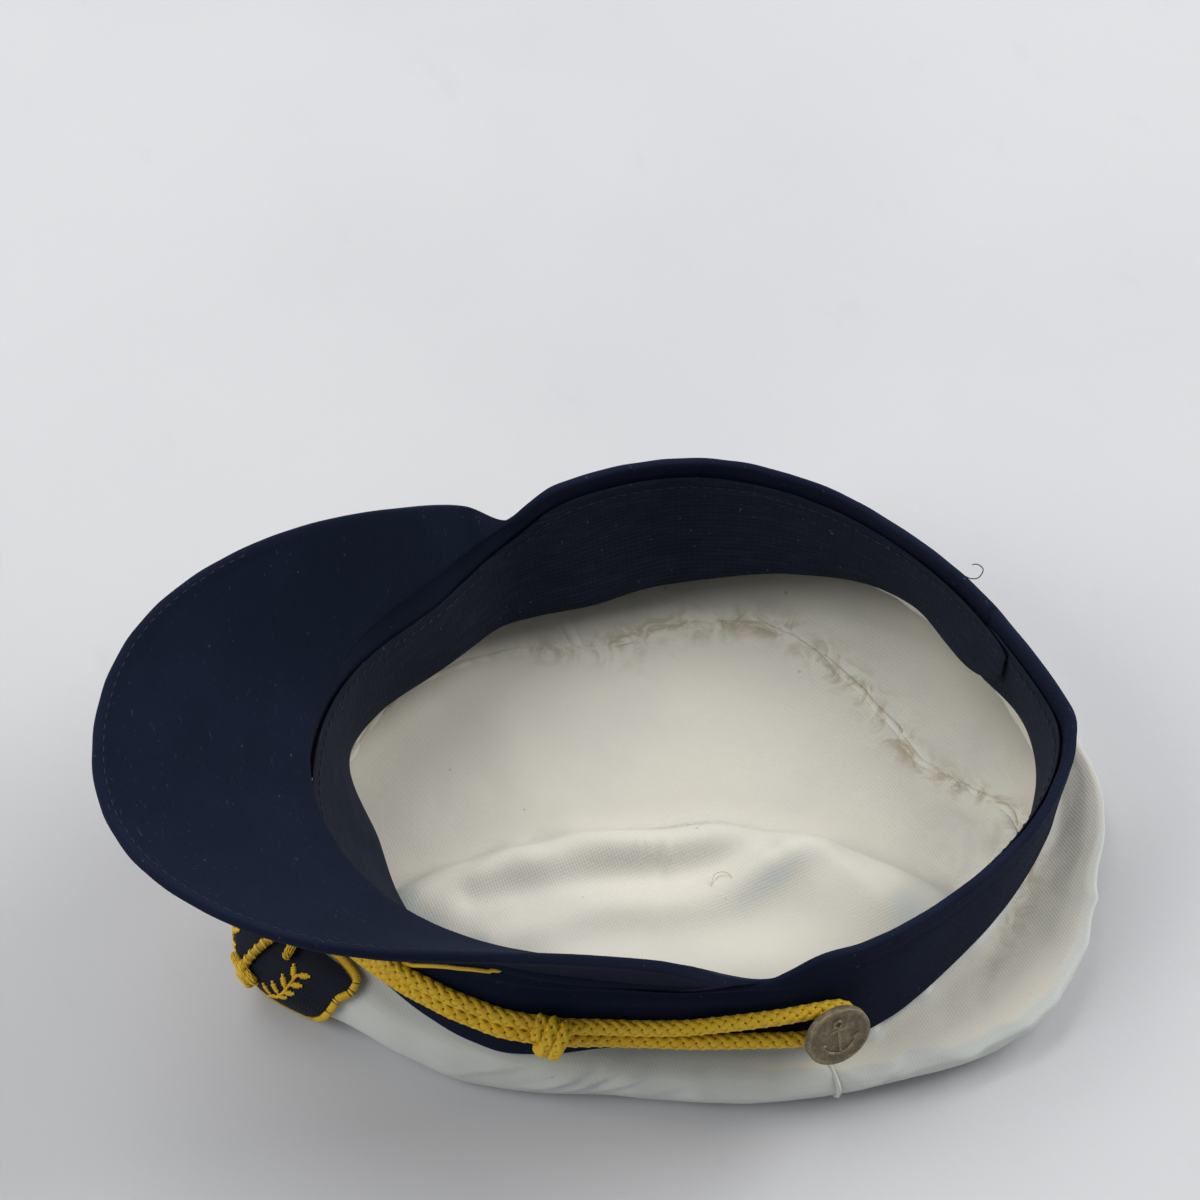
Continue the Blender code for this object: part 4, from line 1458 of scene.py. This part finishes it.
@dataclass
class Peak:
    """Stiff visor with its rolled edge, its stitch line and the gold line by the band.

    A horn is an end of the visor, given by the bearings between which it flattens. Each row of the gold
    line's loose end is a bearing, a distance from the axis and a height.
    """

    edge_line: float = 0.0038
    groove: float = 0.00028
    stitch: float = 0.0023
    pitch: float = 0.0033
    thread: float = 0.0004
    sewn_to: float = 36.0
    near_horn: tuple = (66, 82)
    far_horn: tuple = (73, 84)
    horn_flat: float = 0.95
    piping_wide: float = 0.0017
    piping_tall: float = 0.0046
    piping_lift: float = 0.0014
    piping_to: float = 72.0
    wire: float = 0.0011
    loose: tuple = ((16, 0.0996, 0.0340), (20.2, 0.0986, 0.0372), (25.3, 0.0970, 0.0430),
                    (29.9, 0.0953, 0.0472), (34.1, 0.0930, 0.0490), (36.5, 0.0918, 0.0497))
    line_in: float = 0.0003
    line_end: float = 0.86

    def build(self) -> None:
        """Builds the visor, its stitches and the gold line."""
        navy = NavyTwill(name="navy_peak", colour=(0.0040, 0.0074, 0.020)).material()
        peak = Bench.copy_node("peak", "navy_peak", levels=2, firm=1)
        self.read_edge(peak)
        self.fold = self.band_top()
        Bench.put(peak, self.shape(peak))
        self.mark(peak)
        Bench.lay_cloth(peak, in_plan)
        Bench.dress(peak, navy, Slot.WOOL, "peak")
        self.sewing(Surface(peak), PlainThread("peak_thread", (0.005, 0.008, 0.024)).material())
        line = Bench.copy_node("peak_line", "gold_line", levels=1)
        points = Bench.points(line)
        bearings, radii = polar(points)
        places = [spot(r - self.line_in, b * self.line_end, z - self.line_in)
                  for b, r, z in zip(bearings, radii, points[:, 2])]
        Bench.put(line, np.array(places))
        # the stripes of raised paint shade between the line's turns
        Bench.keep(line, "raised", 0.55 + 0.45 * np.sin(np.radians(bearings) * radii / 0.00028))
        gold = GoldYarn("gold_line", shine=0.5).material()
        Bench.dress(line, gold, Slot.GOLD, "peak_line")
        self.strand(gold)
        self.tape(navy)

    def read_edge(self, peak: bpy.types.Object) -> None:
        """Finds the visor's free edge, the furthest place at each bearing.

        Args:
            peak: the visor.
        """
        points = Bench.points(peak)
        bearings, radii = polar(points)
        line = []
        for station in np.arange(-80, 80.1, 1.0):
            near = np.flatnonzero(np.abs(bearings - station) < 0.8)
            if len(near):
                line.append(Vector(points[near[np.argmax(radii[near])]]))
        self.edge = even(calm(line, 10), 0.00025)
        self.tree = KDTree(len(self.edge))
        for i, place in enumerate(self.edge):
            self.tree.insert(place, i)
        self.tree.balance()

    def from_edge(self, points: Points) -> Points:
        """Distances to the free edge."""
        return np.array([self.tree.find(Vector(p))[2] for p in points])

    def shape(self, peak: bpy.types.Object) -> Points:
        """The groove beside the rolled edge, and slight unevenness of the cover.

        Args:
            peak: the visor.

        Returns:
            Its vertices' new places.
        """
        points, normals = Bench.points(peak), Bench.normals(peak)
        away = self.from_edge(points)
        plain = 1 - step(np.abs(polar(points)[0]), 34, 48)
        amount = -self.groove * bell(away, self.edge_line, 0.0007) * plain
        amount += 0.00022 * bell(away, self.edge_line / 2, 0.0012) * plain
        amount += ripple(points, 0.045, 70.0) * 0.00035 * step(away, 0.004, 0.012)
        amount += ripple(points, 0.012, 72.0) * 0.00006
        return self.horns(points + normals * amount[:, None])

    @staticmethod
    def band_top() -> list[Vector]:
        """The middle of the band's fold, each place as a bearing, a distance from the axis and a height."""
        band = Surface(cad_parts["band"])
        line = []
        for bearing in np.arange(-86, 86.1, 1.0):
            found = []
            for radius in np.arange(0.074, 0.112, 0.0004):
                place = spot(radius, bearing, 0)
                hit = band.below(place.x, place.y)
                if hit is not None:
                    found.append((radius, hit[0].z))
            top = max(height for _, height in found)
            crown = [pair for pair in found if pair[1] > top - 0.0008]
            radius, height = (sum(column) / len(crown) for column in zip(*crown))
            line.append(Vector((bearing, radius, height)))
        return calm(line, 8)

    def horns(self, points: Points) -> Points:
        """Thins the visor's two ends down to the band.

        Args:
            points: places on the visor.

        Returns:
            Their new places.
        """
        stations, inner, tops = zip(*self.fold)
        bearings, radii = polar(points)
        share = (step(bearings, *self.near_horn) + step(-bearings, *self.far_horn)) * self.horn_flat
        moved = push(points, (np.interp(bearings, stations, inner) - radii) * share * 0.9)
        moved[:, 2] += (np.interp(bearings, stations, tops) - 0.0004 - points[:, 2]) * share
        return moved

    def mark(self, peak: bpy.types.Object) -> None:
        """Keeps where the cover is rubbed.

        Args:
            peak: the visor.
        """
        points = Bench.points(peak)
        away = self.from_edge(points)
        Bench.keep(peak, "wear", step(away, 0.004, 0.0) * (0.6 + 0.4 * ripple(points, 0.02, 75.0)))

    def sewing(self, cover: Surface, material: bpy.types.Material) -> None:
        """The rows of stitches beside the edge, on both faces.

        Args:
            cover: the visor's surface.
            material: the thread.
        """
        places = []
        line = even(self.edge, self.pitch)
        for i in range(2, len(line) - 2):
            here, along = line[i], (line[i + 1] - line[i - 1]).normalized()
            if abs(math.degrees(math.atan2(here.x - AXIS.x, AXIS.y - here.y))) > self.sewn_to:
                continue
            centre = Vector((AXIS.x, AXIS.y - 0.03, here.z))
            into = (centre - here).normalized()
            into = (into - along * into.dot(along)).normalized()
            for face in (1.0, -1.0):
                guess = here + into * self.edge_line + Vector((0, 0, face * 0.004 - 0.002))
                place, normal = cover.nearest(guess)
                if normal.z * face > 0.05:
                    places.append((place, along, normal))
        obj = stitches("peak_stitches", places, self.stitch, self.thread)
        Bench.dress(obj, material, Slot.WOOL)

    def tape(self, material: bpy.types.Material) -> None:
        """The piped join that closes the slit between the visor and the band.

        Args:
            material: the navy cloth.
        """
        line = [spot(radius, bearing, height + self.piping_lift)
                for bearing, radius, height in self.fold if abs(bearing) <= self.piping_to]
        obj = rod("peak_piping", even(line, 0.0016), self.piping_wide, self.piping_tall, taper=0.1)
        Bench.lay_cloth(obj, in_plan)
        Bench.dress(obj, material, Slot.WOOL)

    def strand(self, material: bpy.types.Material) -> None:
        """The gold line's two loose ends, which lie on the band under the visor.

        Args:
            material: the gold thread.
        """
        band = Surface(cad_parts["band"])
        for side in Side:
            knots = [spot(r, b * side.value, z) for b, r, z in self.loose]
            line = []
            for place in even([catmull(knots, share) for share in np.linspace(0, 1, 60)], 0.0006):
                here, normal = band.nearest(place)
                line.append(here + normal * 0.0005)
            obj = rod(f"gold_end_{side.name.lower()}", line, self.wire, self.wire, taper=0.02)
            Bench.keep(obj, "raised", 0.7)
            Bench.dress(obj, material, Slot.GOLD)


@dataclass
class ChinCord:
    """Braided cord in one loop round the two buttons, with its two knots.

    Each row of the route is a bearing with the heights of the upper and the lower strand there. The far side
    mirrors the near one, apart from the row beside the near button and the far button's drop.
    """

    diameter: float = 0.0044
    off: float = 0.0005
    lead: float = 0.0128
    ring: float = 0.00046
    far_drop: float = 0.0055
    knot_bearing: float = 45.0
    knot_turns: float = 2.6
    knot_reach: float = 0.0046
    knot_depth: float = 0.0034
    knot_length: float = 0.0080
    near_only: float = 84
    route: tuple = (
        (0, 0.0347, 0.0297), (17, 0.0363, 0.0313), (26, 0.0379, 0.0327), (35, 0.0371, 0.0320),
        (41, 0.0354, 0.0303), (45, 0.0340, 0.0288), (51, 0.0320, 0.0267), (62, 0.0307, 0.0249),
        (76, 0.0325, 0.0238), (84, 0.0332, 0.0225), (90, 0.0337, 0.0213),
    )

    def build(self) -> None:
        """Builds the loop and its knots as one piece."""
        self.band = Surface(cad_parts["band"])
        material = GoldYarn("gold_cord").material()
        upper = [self.strand(b, 1) for b in np.arange(-90, 90.1, 1.5)]
        lower = [self.strand(b, 2) for b in np.arange(90, -90.1, -1.5)]
        loop = upper + self.turn(1, upper[-1], lower[0]) + lower + self.turn(-1, lower[-1], upper[0])
        loop = calm(even(loop, self.ring, True), 60, True)
        pieces = self.braid("cord", loop, self.diameter, self.lead, True)
        for side in Side:
            pieces += self.knot(side)
        obj = Bench.join("gold_cord", pieces)
        Bench.dress(obj, material, Slot.GOLD, "chin_cord", angle=80)

    def strand(self, bearing: float, column: int) -> Vector:
        """A place on a strand's centre line.

        Args:
            bearing: degrees.
            column: 1 for the upper strand, 2 for the lower one.

        Returns:
            The place, off the band by half the cord.
        """
        near = [(row[0], row[column]) for row in self.route]
        last, *others = [row for row in reversed(near) if row[0] not in (0, self.near_only)]
        rows = [(-last[0], last[1] - self.far_drop)] + [(-place, height) for place, height in others] + near
        knots, values = (np.array(c, float) for c in zip(*rows))
        slopes = np.gradient(values, knots)
        i = int(np.clip(np.searchsorted(knots, bearing) - 1, 0, len(knots) - 2))
        gap = knots[i + 1] - knots[i]
        t = (bearing - knots[i]) / gap
        height = ((1 + 2 * t) * (1 - t) ** 2 * values[i] + t * (1 - t) ** 2 * gap * slopes[i]
                  + t * t * (3 - 2 * t) * values[i + 1] + t * t * (t - 1) * gap * slopes[i + 1])
        hit = self.band.from_outside(bearing, float(height))
        return hit[0] + outward(bearing) * (self.off + self.diameter / 2)

    def turn(self, side: int, first: Vector, last: Vector) -> list[Vector]:
        """The half turn round a button's post.

        Args:
            side: 1 or -1.
            first: where the turn starts.
            last: where it ends.

        Returns:
            Its places.
        """
        middle, half = (first + last) / 2, (first - last) / 2
        ahead = Vector((0, 1, 0)) * half.length
        angles = np.radians(np.arange(12, 169, 12))
        return [middle + half * math.cos(a) + ahead * math.sin(a) for a in angles]

    def braid(self, name: str, line: list[Vector], diameter: float, lead: float,
              closed: bool) -> list[bpy.types.Object]:
        """Eight flattened yarns that cross over and under, on a core.

        Args:
            name: the start of the yarns' names.
            line: the cord's centre line, evenly spaced.
            diameter: the cord's diameter.
            lead: metres for one turn of a yarn.
            closed: whether the line joins its start.

        Returns:
            The yarns and the core.
        """
        count = len(line)
        table = np.array(line)
        ahead = self.ways(table, closed)
        pitch = float(np.linalg.norm(np.diff(table, axis=0), axis=1).mean())
        turns = max(1, round(count * pitch / lead)) if closed else count * pitch / lead
        over = np.array(UP) - ahead * ahead[:, 2:]
        over /= np.linalg.norm(over, axis=1)[:, None] + 1e-12
        beside = np.cross(ahead, over)
        phase = np.arange(count) / count * turns * 2 * math.pi
        yarn_out, yarn_side = diameter * 0.135, diameter * 0.205
        middle = diameter / 2 - yarn_out - diameter * 0.035
        pieces = []
        corners = np.arange(6) * math.pi / 3
        for hand in (1, -1):
            weave = middle + hand * diameter * 0.040 * np.cos(phase * 4)
            for k in range(4):
                angle = hand * phase + k * math.pi / 2
                out = over * np.cos(angle)[:, None] + beside * np.sin(angle)[:, None]
                centre = table + out * weave[:, None]
                way = self.ways(centre, closed)
                flat = np.cross(way, out)
                flat /= np.linalg.norm(flat, axis=1)[:, None]
                rings = [centre + out * (yarn_out * math.cos(a)) + flat * (yarn_side * math.sin(a))
                         for a in corners]
                # raised also sets the gold's painted gap shade: places facing the core get more of it
                raised = [np.clip(0.5 + 0.55 * math.cos(a) + hand * 0.22 * np.cos(phase * 4), 0, 1)
                          for a in corners]
                pieces.append(self.tube(f"{name}_{hand}_{k}", np.stack(rings, axis=1),
                                        np.stack(raised, axis=1), closed))
        inside = middle * 0.86
        core = [table + over * (inside * math.cos(a)) + beside * (inside * math.sin(a)) for a in corners]
        # the core, raised 0, takes the gold's full painted gap shade
        pieces.append(self.tube(f"{name}_core", np.stack(core, axis=1)[::2], 0.0, closed))
        return pieces

    @staticmethod
    def ways(table: Points, closed: bool) -> Points:
        """The way along a line at each of its places.

        Args:
            table: the places.
            closed: whether the line joins its start.

        Returns:
            One unit vector for each place.
        """
        if closed:
            way = np.roll(table, -1, axis=0) - np.roll(table, 1, axis=0)
        else:
            way = np.gradient(table, axis=0)
        return way / np.linalg.norm(way, axis=1)[:, None]

    @staticmethod
    def tube(name: str, rings: Points, raised: Points | float, closed: bool) -> bpy.types.Object:
        """A tube through rings of points.

        Args:
            name: its name.
            rings: rings of places.
            raised: how far each place stands out, 0 to 1.
            closed: whether the last ring joins the first.

        Returns:
            The tube, with its ends closed.
        """
        count, sides = rings.shape[:2]
        faces = []
        for i in range(count if closed else count - 1):
            for j in range(sides):
                a, b, k = i * sides, ((i + 1) % count) * sides, (j + 1) % sides
                faces.append((a + j, b + j, b + k, a + k))
        if not closed:
            faces += [tuple(range(sides)), tuple(reversed(range((count - 1) * sides, count * sides)))]
        mesh = bpy.data.meshes.new(name)
        mesh.from_pydata(rings.reshape(-1, 3).tolist(), [], faces)
        obj = bpy.data.objects.new(name, mesh)
        bpy.context.scene.collection.objects.link(obj)
        Bench.keep(obj, "raised", np.ravel(raised))
        with Bench.editing(obj):
            bpy.ops.mesh.normals_make_consistent(inside=False)
        return obj

    def knot(self, side: Side) -> list[bpy.types.Object]:
        """A knot of the same cord, wound tightly round both strands.

        Args:
            side: which side.

        Returns:
            Its yarns and core.
        """
        bearing = self.knot_bearing * side.value
        middle = (self.strand(bearing, 1) + self.strand(bearing, 2)) / 2
        out = outward(bearing)
        along = UP.cross(out)
        line = []
        for share in np.linspace(0, 1, 180):
            turn = 2 * math.pi * self.knot_turns * share + 0.4
            wide = self.knot_reach + 0.0006 * math.sin(math.pi * share)
            drift = (share - 0.5) * self.knot_length + 0.0016 * math.sin(turn + 0.7)
            front = math.cos(turn) * (self.knot_depth + 0.0012 * math.sin(math.pi * share))
            line.append(middle + UP * (math.sin(turn) * wide) + out * (max(front, -0.0005) + 0.0006)
                        + along * drift)
        line = even(line, self.ring * 1.05)
        return self.braid(f"knot_{side.name.lower()}", line, self.diameter * 0.86, self.lead * 0.82, False)


@dataclass
class Button:
    """Cast metal button with a rolled rim and a raised anchor, on a short post.

    Each step of the face is how far in it goes and how far up.
    """

    side: Side
    diameter: float = 0.0175
    thick: float = 0.0022
    tilt: float = 15.0
    post: float = 0.0070
    reach: float = 0.0054
    bar: float = 0.00085
    steps: tuple = ((0.00075, 0.0), (0.00035, -0.00045), (0.0016, 0.00008), (0.0026, 0.00012),
                    (0.0024, 0.00006))

    def build(self, material: bpy.types.Material) -> None:
        """Builds the button where its node is.

        Args:
            material: the metal.
        """
        node = "button_near" if self.side is Side.NEAR else "button_far"
        low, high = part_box(node)
        lean = math.radians(self.tilt)
        out = Vector((math.cos(lean) * self.side.value, 0, math.sin(lean)))
        up = Vector((-math.sin(lean) * self.side.value, 0, math.cos(lean)))
        points = np.array([v.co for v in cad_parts[node].data.vertices])
        top = (points @ np.array(out)).max()
        heights = points @ np.array(up)
        middle = (heights.max() + heights.min()) / 2
        base = out * top + up * middle + Vector((0, (low.y + high.y) / 2, 0))
        turned = Matrix((Vector((0, 1, 0)) * self.side.value, up, out)).transposed()
        place = Matrix.Translation(base) @ turned.to_4x4()
        parts = [self.disc()] + self.anchor() + [self.shank()]
        for part in parts:
            part.matrix_world = place @ part.matrix_world
            Bench.settle(part)
        obj = Bench.join(f"metal_{node}", parts)
        with Bench.editing(obj):
            bpy.ops.mesh.normals_make_consistent(inside=False)
        Bench.dress(obj, material, Slot.METAL, node, angle=38)

    def disc(self) -> bpy.types.Object:
        """The domed disc, its face at height 0."""
        radius = self.diameter / 2
        bpy.ops.mesh.primitive_cylinder_add(vertices=96, radius=radius, depth=self.thick,
                                            end_fill_type="NGON",
                                            location=(0, 0, -self.thick / 2 - 0.0001))
        obj = bpy.context.active_object
        Bench.settle(obj)
        with Bench.editing(obj, False):
            bpy.ops.mesh.select_mode(type="FACE")
        for face in obj.data.polygons:
            face.select = face.normal.z > 0.9 and len(face.vertices) > 8
        Bench.choose(obj)
        bpy.ops.object.mode_set(mode="EDIT")
        for inward, upward in self.steps:
            bpy.ops.mesh.inset(thickness=inward, depth=upward)
        bpy.ops.mesh.poke()
        bpy.ops.object.mode_set(mode="OBJECT")
        Bench.round_edges(obj, 0.00035, 3, 40.0)
        heights = Bench.points(obj)
        rings = np.hypot(heights[:, 0], heights[:, 1])
        rim = step(rings, radius * 0.80, radius * 0.93)
        Bench.keep(obj, "raised", step(heights[:, 2], -0.0007, 0.0) * rim * 0.7)
        return obj

    def anchor(self) -> list[bpy.types.Object]:
        """The plain raised anchor on the disc's face."""
        tall = self.diameter * 0.60
        parts = []
        arms = np.radians(np.linspace(200, 340, 16))
        lines = [
            [(0, -0.5), (0, 0.32)], [(-0.25, 0.22), (0.25, 0.22)],
            [(0.42 * math.cos(a), -0.10 + 0.40 * math.sin(a)) for a in arms],
            [(-0.39, -0.24), (-0.50, -0.10), (-0.33, -0.16)], [(0.39, -0.24), (0.50, -0.10), (0.33, -0.16)],
        ]
        for i, line in enumerate(lines):
            path = even([Vector((x * tall, y * tall, -0.00030)) for x, y in line], 0.0004)
            parts.append(rod(f"anchor_{i}", path, self.bar, 0.0006, taper=0.1))
        bpy.ops.mesh.primitive_torus_add(major_radius=tall * 0.10, minor_radius=self.bar * 0.42,
                                         major_segments=24, minor_segments=8,
                                         location=(0, tall * 0.42, -0.0002))
        parts.append(bpy.context.active_object)
        for part in parts:
            Bench.settle(part)
            Bench.keep(part, "raised", 0.9)
        return parts

    def shank(self) -> bpy.types.Object:
        """The post that the cord turns round."""
        bpy.ops.mesh.primitive_cylinder_add(vertices=32, radius=self.post / 2, depth=self.reach,
                                            location=(0, 0, -self.thick - self.reach / 2))
        obj = bpy.context.active_object
        Bench.settle(obj)
        Bench.round_edges(obj, 0.0004, 2)
        Bench.keep(obj, "raised", 0.0)
        return obj


@dataclass
class Badge:
    """Embroidered badge: its ground, its edging of close stitches, a generic anchor and leafy sprigs.

    A sprig's stem is a line of places on the ground, each millimetres across and degrees round the swell.
    """

    edging: float = 0.0024
    thread: float = 0.00042
    pitch: float = 0.00040
    outward: tuple = (1.09, 1.05, 1.06)
    pad: float = 0.00045
    lift: float = 0.0004
    apart: float = 0.00055
    long_stitch: float = 0.0021
    leaf_stitch: float = 0.0018
    stem_stitch: float = 0.0010
    stem: tuple = ((7.5, 8), (10.5, 20), (12.0, 38), (12.0, 58))
    leaves: int = 9
    leaf_length: float = 2.7
    leaf_turn: float = 10.0
    swell_radius: float = 118.0

    def build(self) -> None:
        """Builds the badge on the crown's front."""
        ground = Bench.copy_node("badge_ground", "badge_ground_cloth", levels=1, firm=3)
        points = Bench.points(ground)
        middle = (points.min(axis=0) + points.max(axis=0)) / 2
        Bench.put(ground, middle + (points - middle) * np.array(self.outward))
        Bench.lay_cloth(ground, lambda points, normals: points[:, [0, 2]])
        Bench.dress(ground, BadgeCloth().material(), Slot.BADGE, "badge_ground")
        self.surface = Surface(ground)
        self.crown = Surface(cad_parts["crown_front"])
        gold = GoldYarn("gold_embroidery", shine=0.45).material()
        self.border(gold)
        self.anchor(gold)
        self.sprigs(gold)

    def border(self, material: bpy.types.Material) -> None:
        """The edging: a padded cord with close stitches laid across it.

        Args:
            material: the gold thread.
        """
        base = Bench.copy_node("badge_border", "badge_edging", levels=1, firm=1)
        line = even(self.follow(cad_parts["badge_border"]), self.pitch, True)
        places = []
        for i, here in enumerate(line):
            along = line[(i + 3) % len(line)] - line[i - 3]
            _, normal = self.crown.nearest(here)
            across = along.cross(normal)
            way = across + along.normalized() * across.length * 0.12
            places.append((here + normal * 0.0008, way, normal))
        threads = stitches("edging_threads", places, self.edging, self.thread * 1.15, 0.55)
        # the pad under the stitches, raised 0.2, takes most of the gold's painted gap shade
        Bench.keep(base, "raised", 0.2)
        Bench.keep(threads, "raised", 0.7)
        obj = Bench.join("badge_edging", [base, threads])
        Bench.dress(obj, material, Slot.GOLD, "badge_border", angle=80)

    @staticmethod
    def follow(node: bpy.types.Object, reach: float = 0.0016) -> list[Vector]:
        """The centre line of a closed cord: the middles of its rings of points, in order.

        Args:
            node: the cord's solid.
            reach: the most between neighbours in a ring.

        Returns:
            Places along it.
        """
        left = [Vector(p) for p in np.unique(np.round([v.co for v in node.data.vertices], 6), axis=0)]
        rings: list[Vector] = []
        while left:
            ring = [left.pop()]
            for member in ring:
                near = [p for p in left if (p - member).length < reach]
                ring += near
                left = [p for p in left if p not in near]
            rings.append(sum(ring, Vector()) / len(ring))
        line = [rings.pop(0)]
        while rings:
            rings.sort(key=lambda place: (place - line[-1]).length)
            line.append(rings.pop(0))
        knots = [*line, line[0]]
        return [catmull(knots, share) for share in np.linspace(0, 1, 8 * len(line), endpoint=False)]

    def anchor(self, material: bpy.types.Material) -> None:
        """The raised anchor: its solid, wrapped in stitches.

        Args:
            material: the gold thread.
        """
        base = Bench.copy_node("badge_anchor", "badge_anchor_pad", levels=1)
        points, normals = Bench.points(base), Bench.normals(base)
        lifts = np.array([self.crown.nearest(Vector(p))[1] for p in points])
        points = points + normals * self.pad + lifts * self.lift
        Bench.put(base, points)
        places = []
        kept: list[Vector] = []
        for index in np.random.default_rng(7).permutation(len(points)):
            here, facing = Vector(points[index]), Vector(normals[index])
            _, normal = self.crown.nearest(here)
            if facing.dot(normal) < 0.25 or any((here - other).length < self.apart for other in kept):
                continue
            kept.append(here)
            places.append((here, normal.cross(Vector((0.35, 0.2, 1.0))), facing))
        threads = stitches("anchor_threads", places, self.long_stitch, self.thread * 1.1, 0.35)
        # the pad, raised 0.4, takes part of the gold's painted gap shade
        Bench.keep(base, "raised", 0.4)
        Bench.keep(threads, "raised", 0.75)
        obj = Bench.join("badge_anchor_gold", [base, threads])
        Bench.dress(obj, material, Slot.GOLD, "badge_anchor", angle=80)

    def sprigs(self, material: bpy.types.Material) -> None:
        """A plain leafy sprig on each side of the anchor, in close stitches.

        Args:
            material: the gold thread.
        """
        narrow, wide = [], []
        for hand in (-1, 1):
            stem = [(hand * across, tilt, 0) for across, tilt in self.stem]
            for share in np.linspace(0, 1, 34):
                here = catmull(stem, share)
                narrow.append(self.stitch_at(here.x, here.y, 0.9, 0.45))
            for leaf, share in enumerate(np.linspace(0.06, 1, self.leaves)):
                root = catmull(stem, share)
                side = hand if leaf % 2 == 0 else -hand
                for k in np.linspace(0.1, 1, 9):
                    across, tilt = root.x + side * k * self.leaf_length, root.y + k * self.leaf_turn
                    group = wide if 0.3 < k < 0.85 else narrow
                    group.append(self.stitch_at(across, tilt, side * -0.7, 0.9))
        pieces = [stitches("sprig_threads", [place for place in group if place is not None], length,
                           self.thread * 1.15, 0.4)
                  for group, length in ((narrow, self.stem_stitch), (wide, self.leaf_stitch))]
        obj = Bench.join("badge_sprigs", pieces)
        Bench.keep(obj, "raised", 0.75)
        Bench.dress(obj, material, Slot.GOLD, angle=80)

    def stitch_at(self, across: float, tilt: float, lean: float,
                  rise: float) -> tuple[Vector, Vector, Vector] | None:
        """Where a stitch lies on the badge's ground.

        Args:
            across: millimetres from the badge's middle.
            tilt: degrees round the crown's swell, 0 at its side and 90 on its top.
            lean: how much the stitch runs across.
            rise: how much it runs up the badge.

        Returns:
            Its place, its way and the way out, or None off the ground.
        """
        bearing = 1.5 + math.degrees(across / self.swell_radius)
        centre = spot(0.108, bearing, 0.0055)
        hits = []
        for angle in (math.radians(tilt), math.radians(tilt + 3)):
            out = outward(bearing) * math.cos(angle) + UP * math.sin(angle)
            hits.append(self.surface.tree.ray_cast(centre + out * 0.04, -out, 0.04))
        if any(hit[0] is None for hit in hits):
            return None
        (here, normal, *_), (above, *_) = hits
        up = (above - here).normalized()
        return here + normal * 0.0002, up.cross(normal) * lean + up * rise, normal


@dataclass
class LooseThreads:
    """Stray threads: one at the back of the rim and two inside."""

    dark: float = 0.00032
    pale: float = 0.00026
    rim: tuple = ((0.0, 0.0, 0.0), (0.0022, 0.0004, 0.0012), (0.0036, 0.0020, 0.0024),
                  (0.0022, 0.0040, 0.0032), (-0.0002, 0.0036, 0.0030), (-0.0010, 0.0022, 0.0026))
    curl: tuple = ((0.0, 0.0), (-0.0030, 0.0012), (-0.0055, 0.0036), (-0.0050, 0.0066), (-0.0022, 0.0080),
                   (0.0012, 0.0070), (0.0022, 0.0040), (0.0046, 0.0028))

    def build(self) -> None:
        """Builds the threads."""
        dark = PlainThread("dark_thread", (0.020, 0.022, 0.028)).material()
        pale = PlainThread("pale_thread", (0.55, 0.47, 0.33)).material()
        band = Surface(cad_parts["band"])
        tip = Surface(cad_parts["crown_tip"])
        start, _ = band.from_outside(-171.0, 0.0425)
        self.lay("rim_thread", [start + Vector(k) for k in self.rim], self.dark, dark, Slot.WOOL)
        for name, x, y, size in (("seam_thread", 0.0200, 0.0905, 1.0), ("floor_hair", 0.0310, 0.0180, 0.8)):
            found = [tip.below(x + dx * size, y + dy * size) for dx, dy in self.curl]
            line = [hit[0] + UP * 0.0022 for hit in found if hit is not None]
            self.lay(name, line, self.pale, pale, Slot.COTTON)

    @staticmethod
    def lay(name: str, knots: Sequence[Vector], thick: float, material: bpy.types.Material,
            slot: Slot) -> None:
        """A thread through a few places.

        Args:
            name: the piece's name.
            knots: the places.
            thick: its diameter.
            material: its finish.
            slot: the record's slot.
        """
        line = even([catmull(knots, s) for s in np.linspace(0, 1, 60)], 0.0003)
        Bench.dress(rod(name, line, thick, thick, 5, taper=0.05), material, slot)


def main() -> None:
    """Builds the scene in order."""
    logging.basicConfig(level=logging.INFO, format="%(name)s %(message)s")
    Studio().build()
    Headband().build()
    Crown().build()
    Peak().build()
    ChinCord().build()
    metal = Pewter().material()
    for side in Side:
        Button(side).build(metal)
    Badge().build()
    LooseThreads().build()


if __name__ == "__main__":
    main()
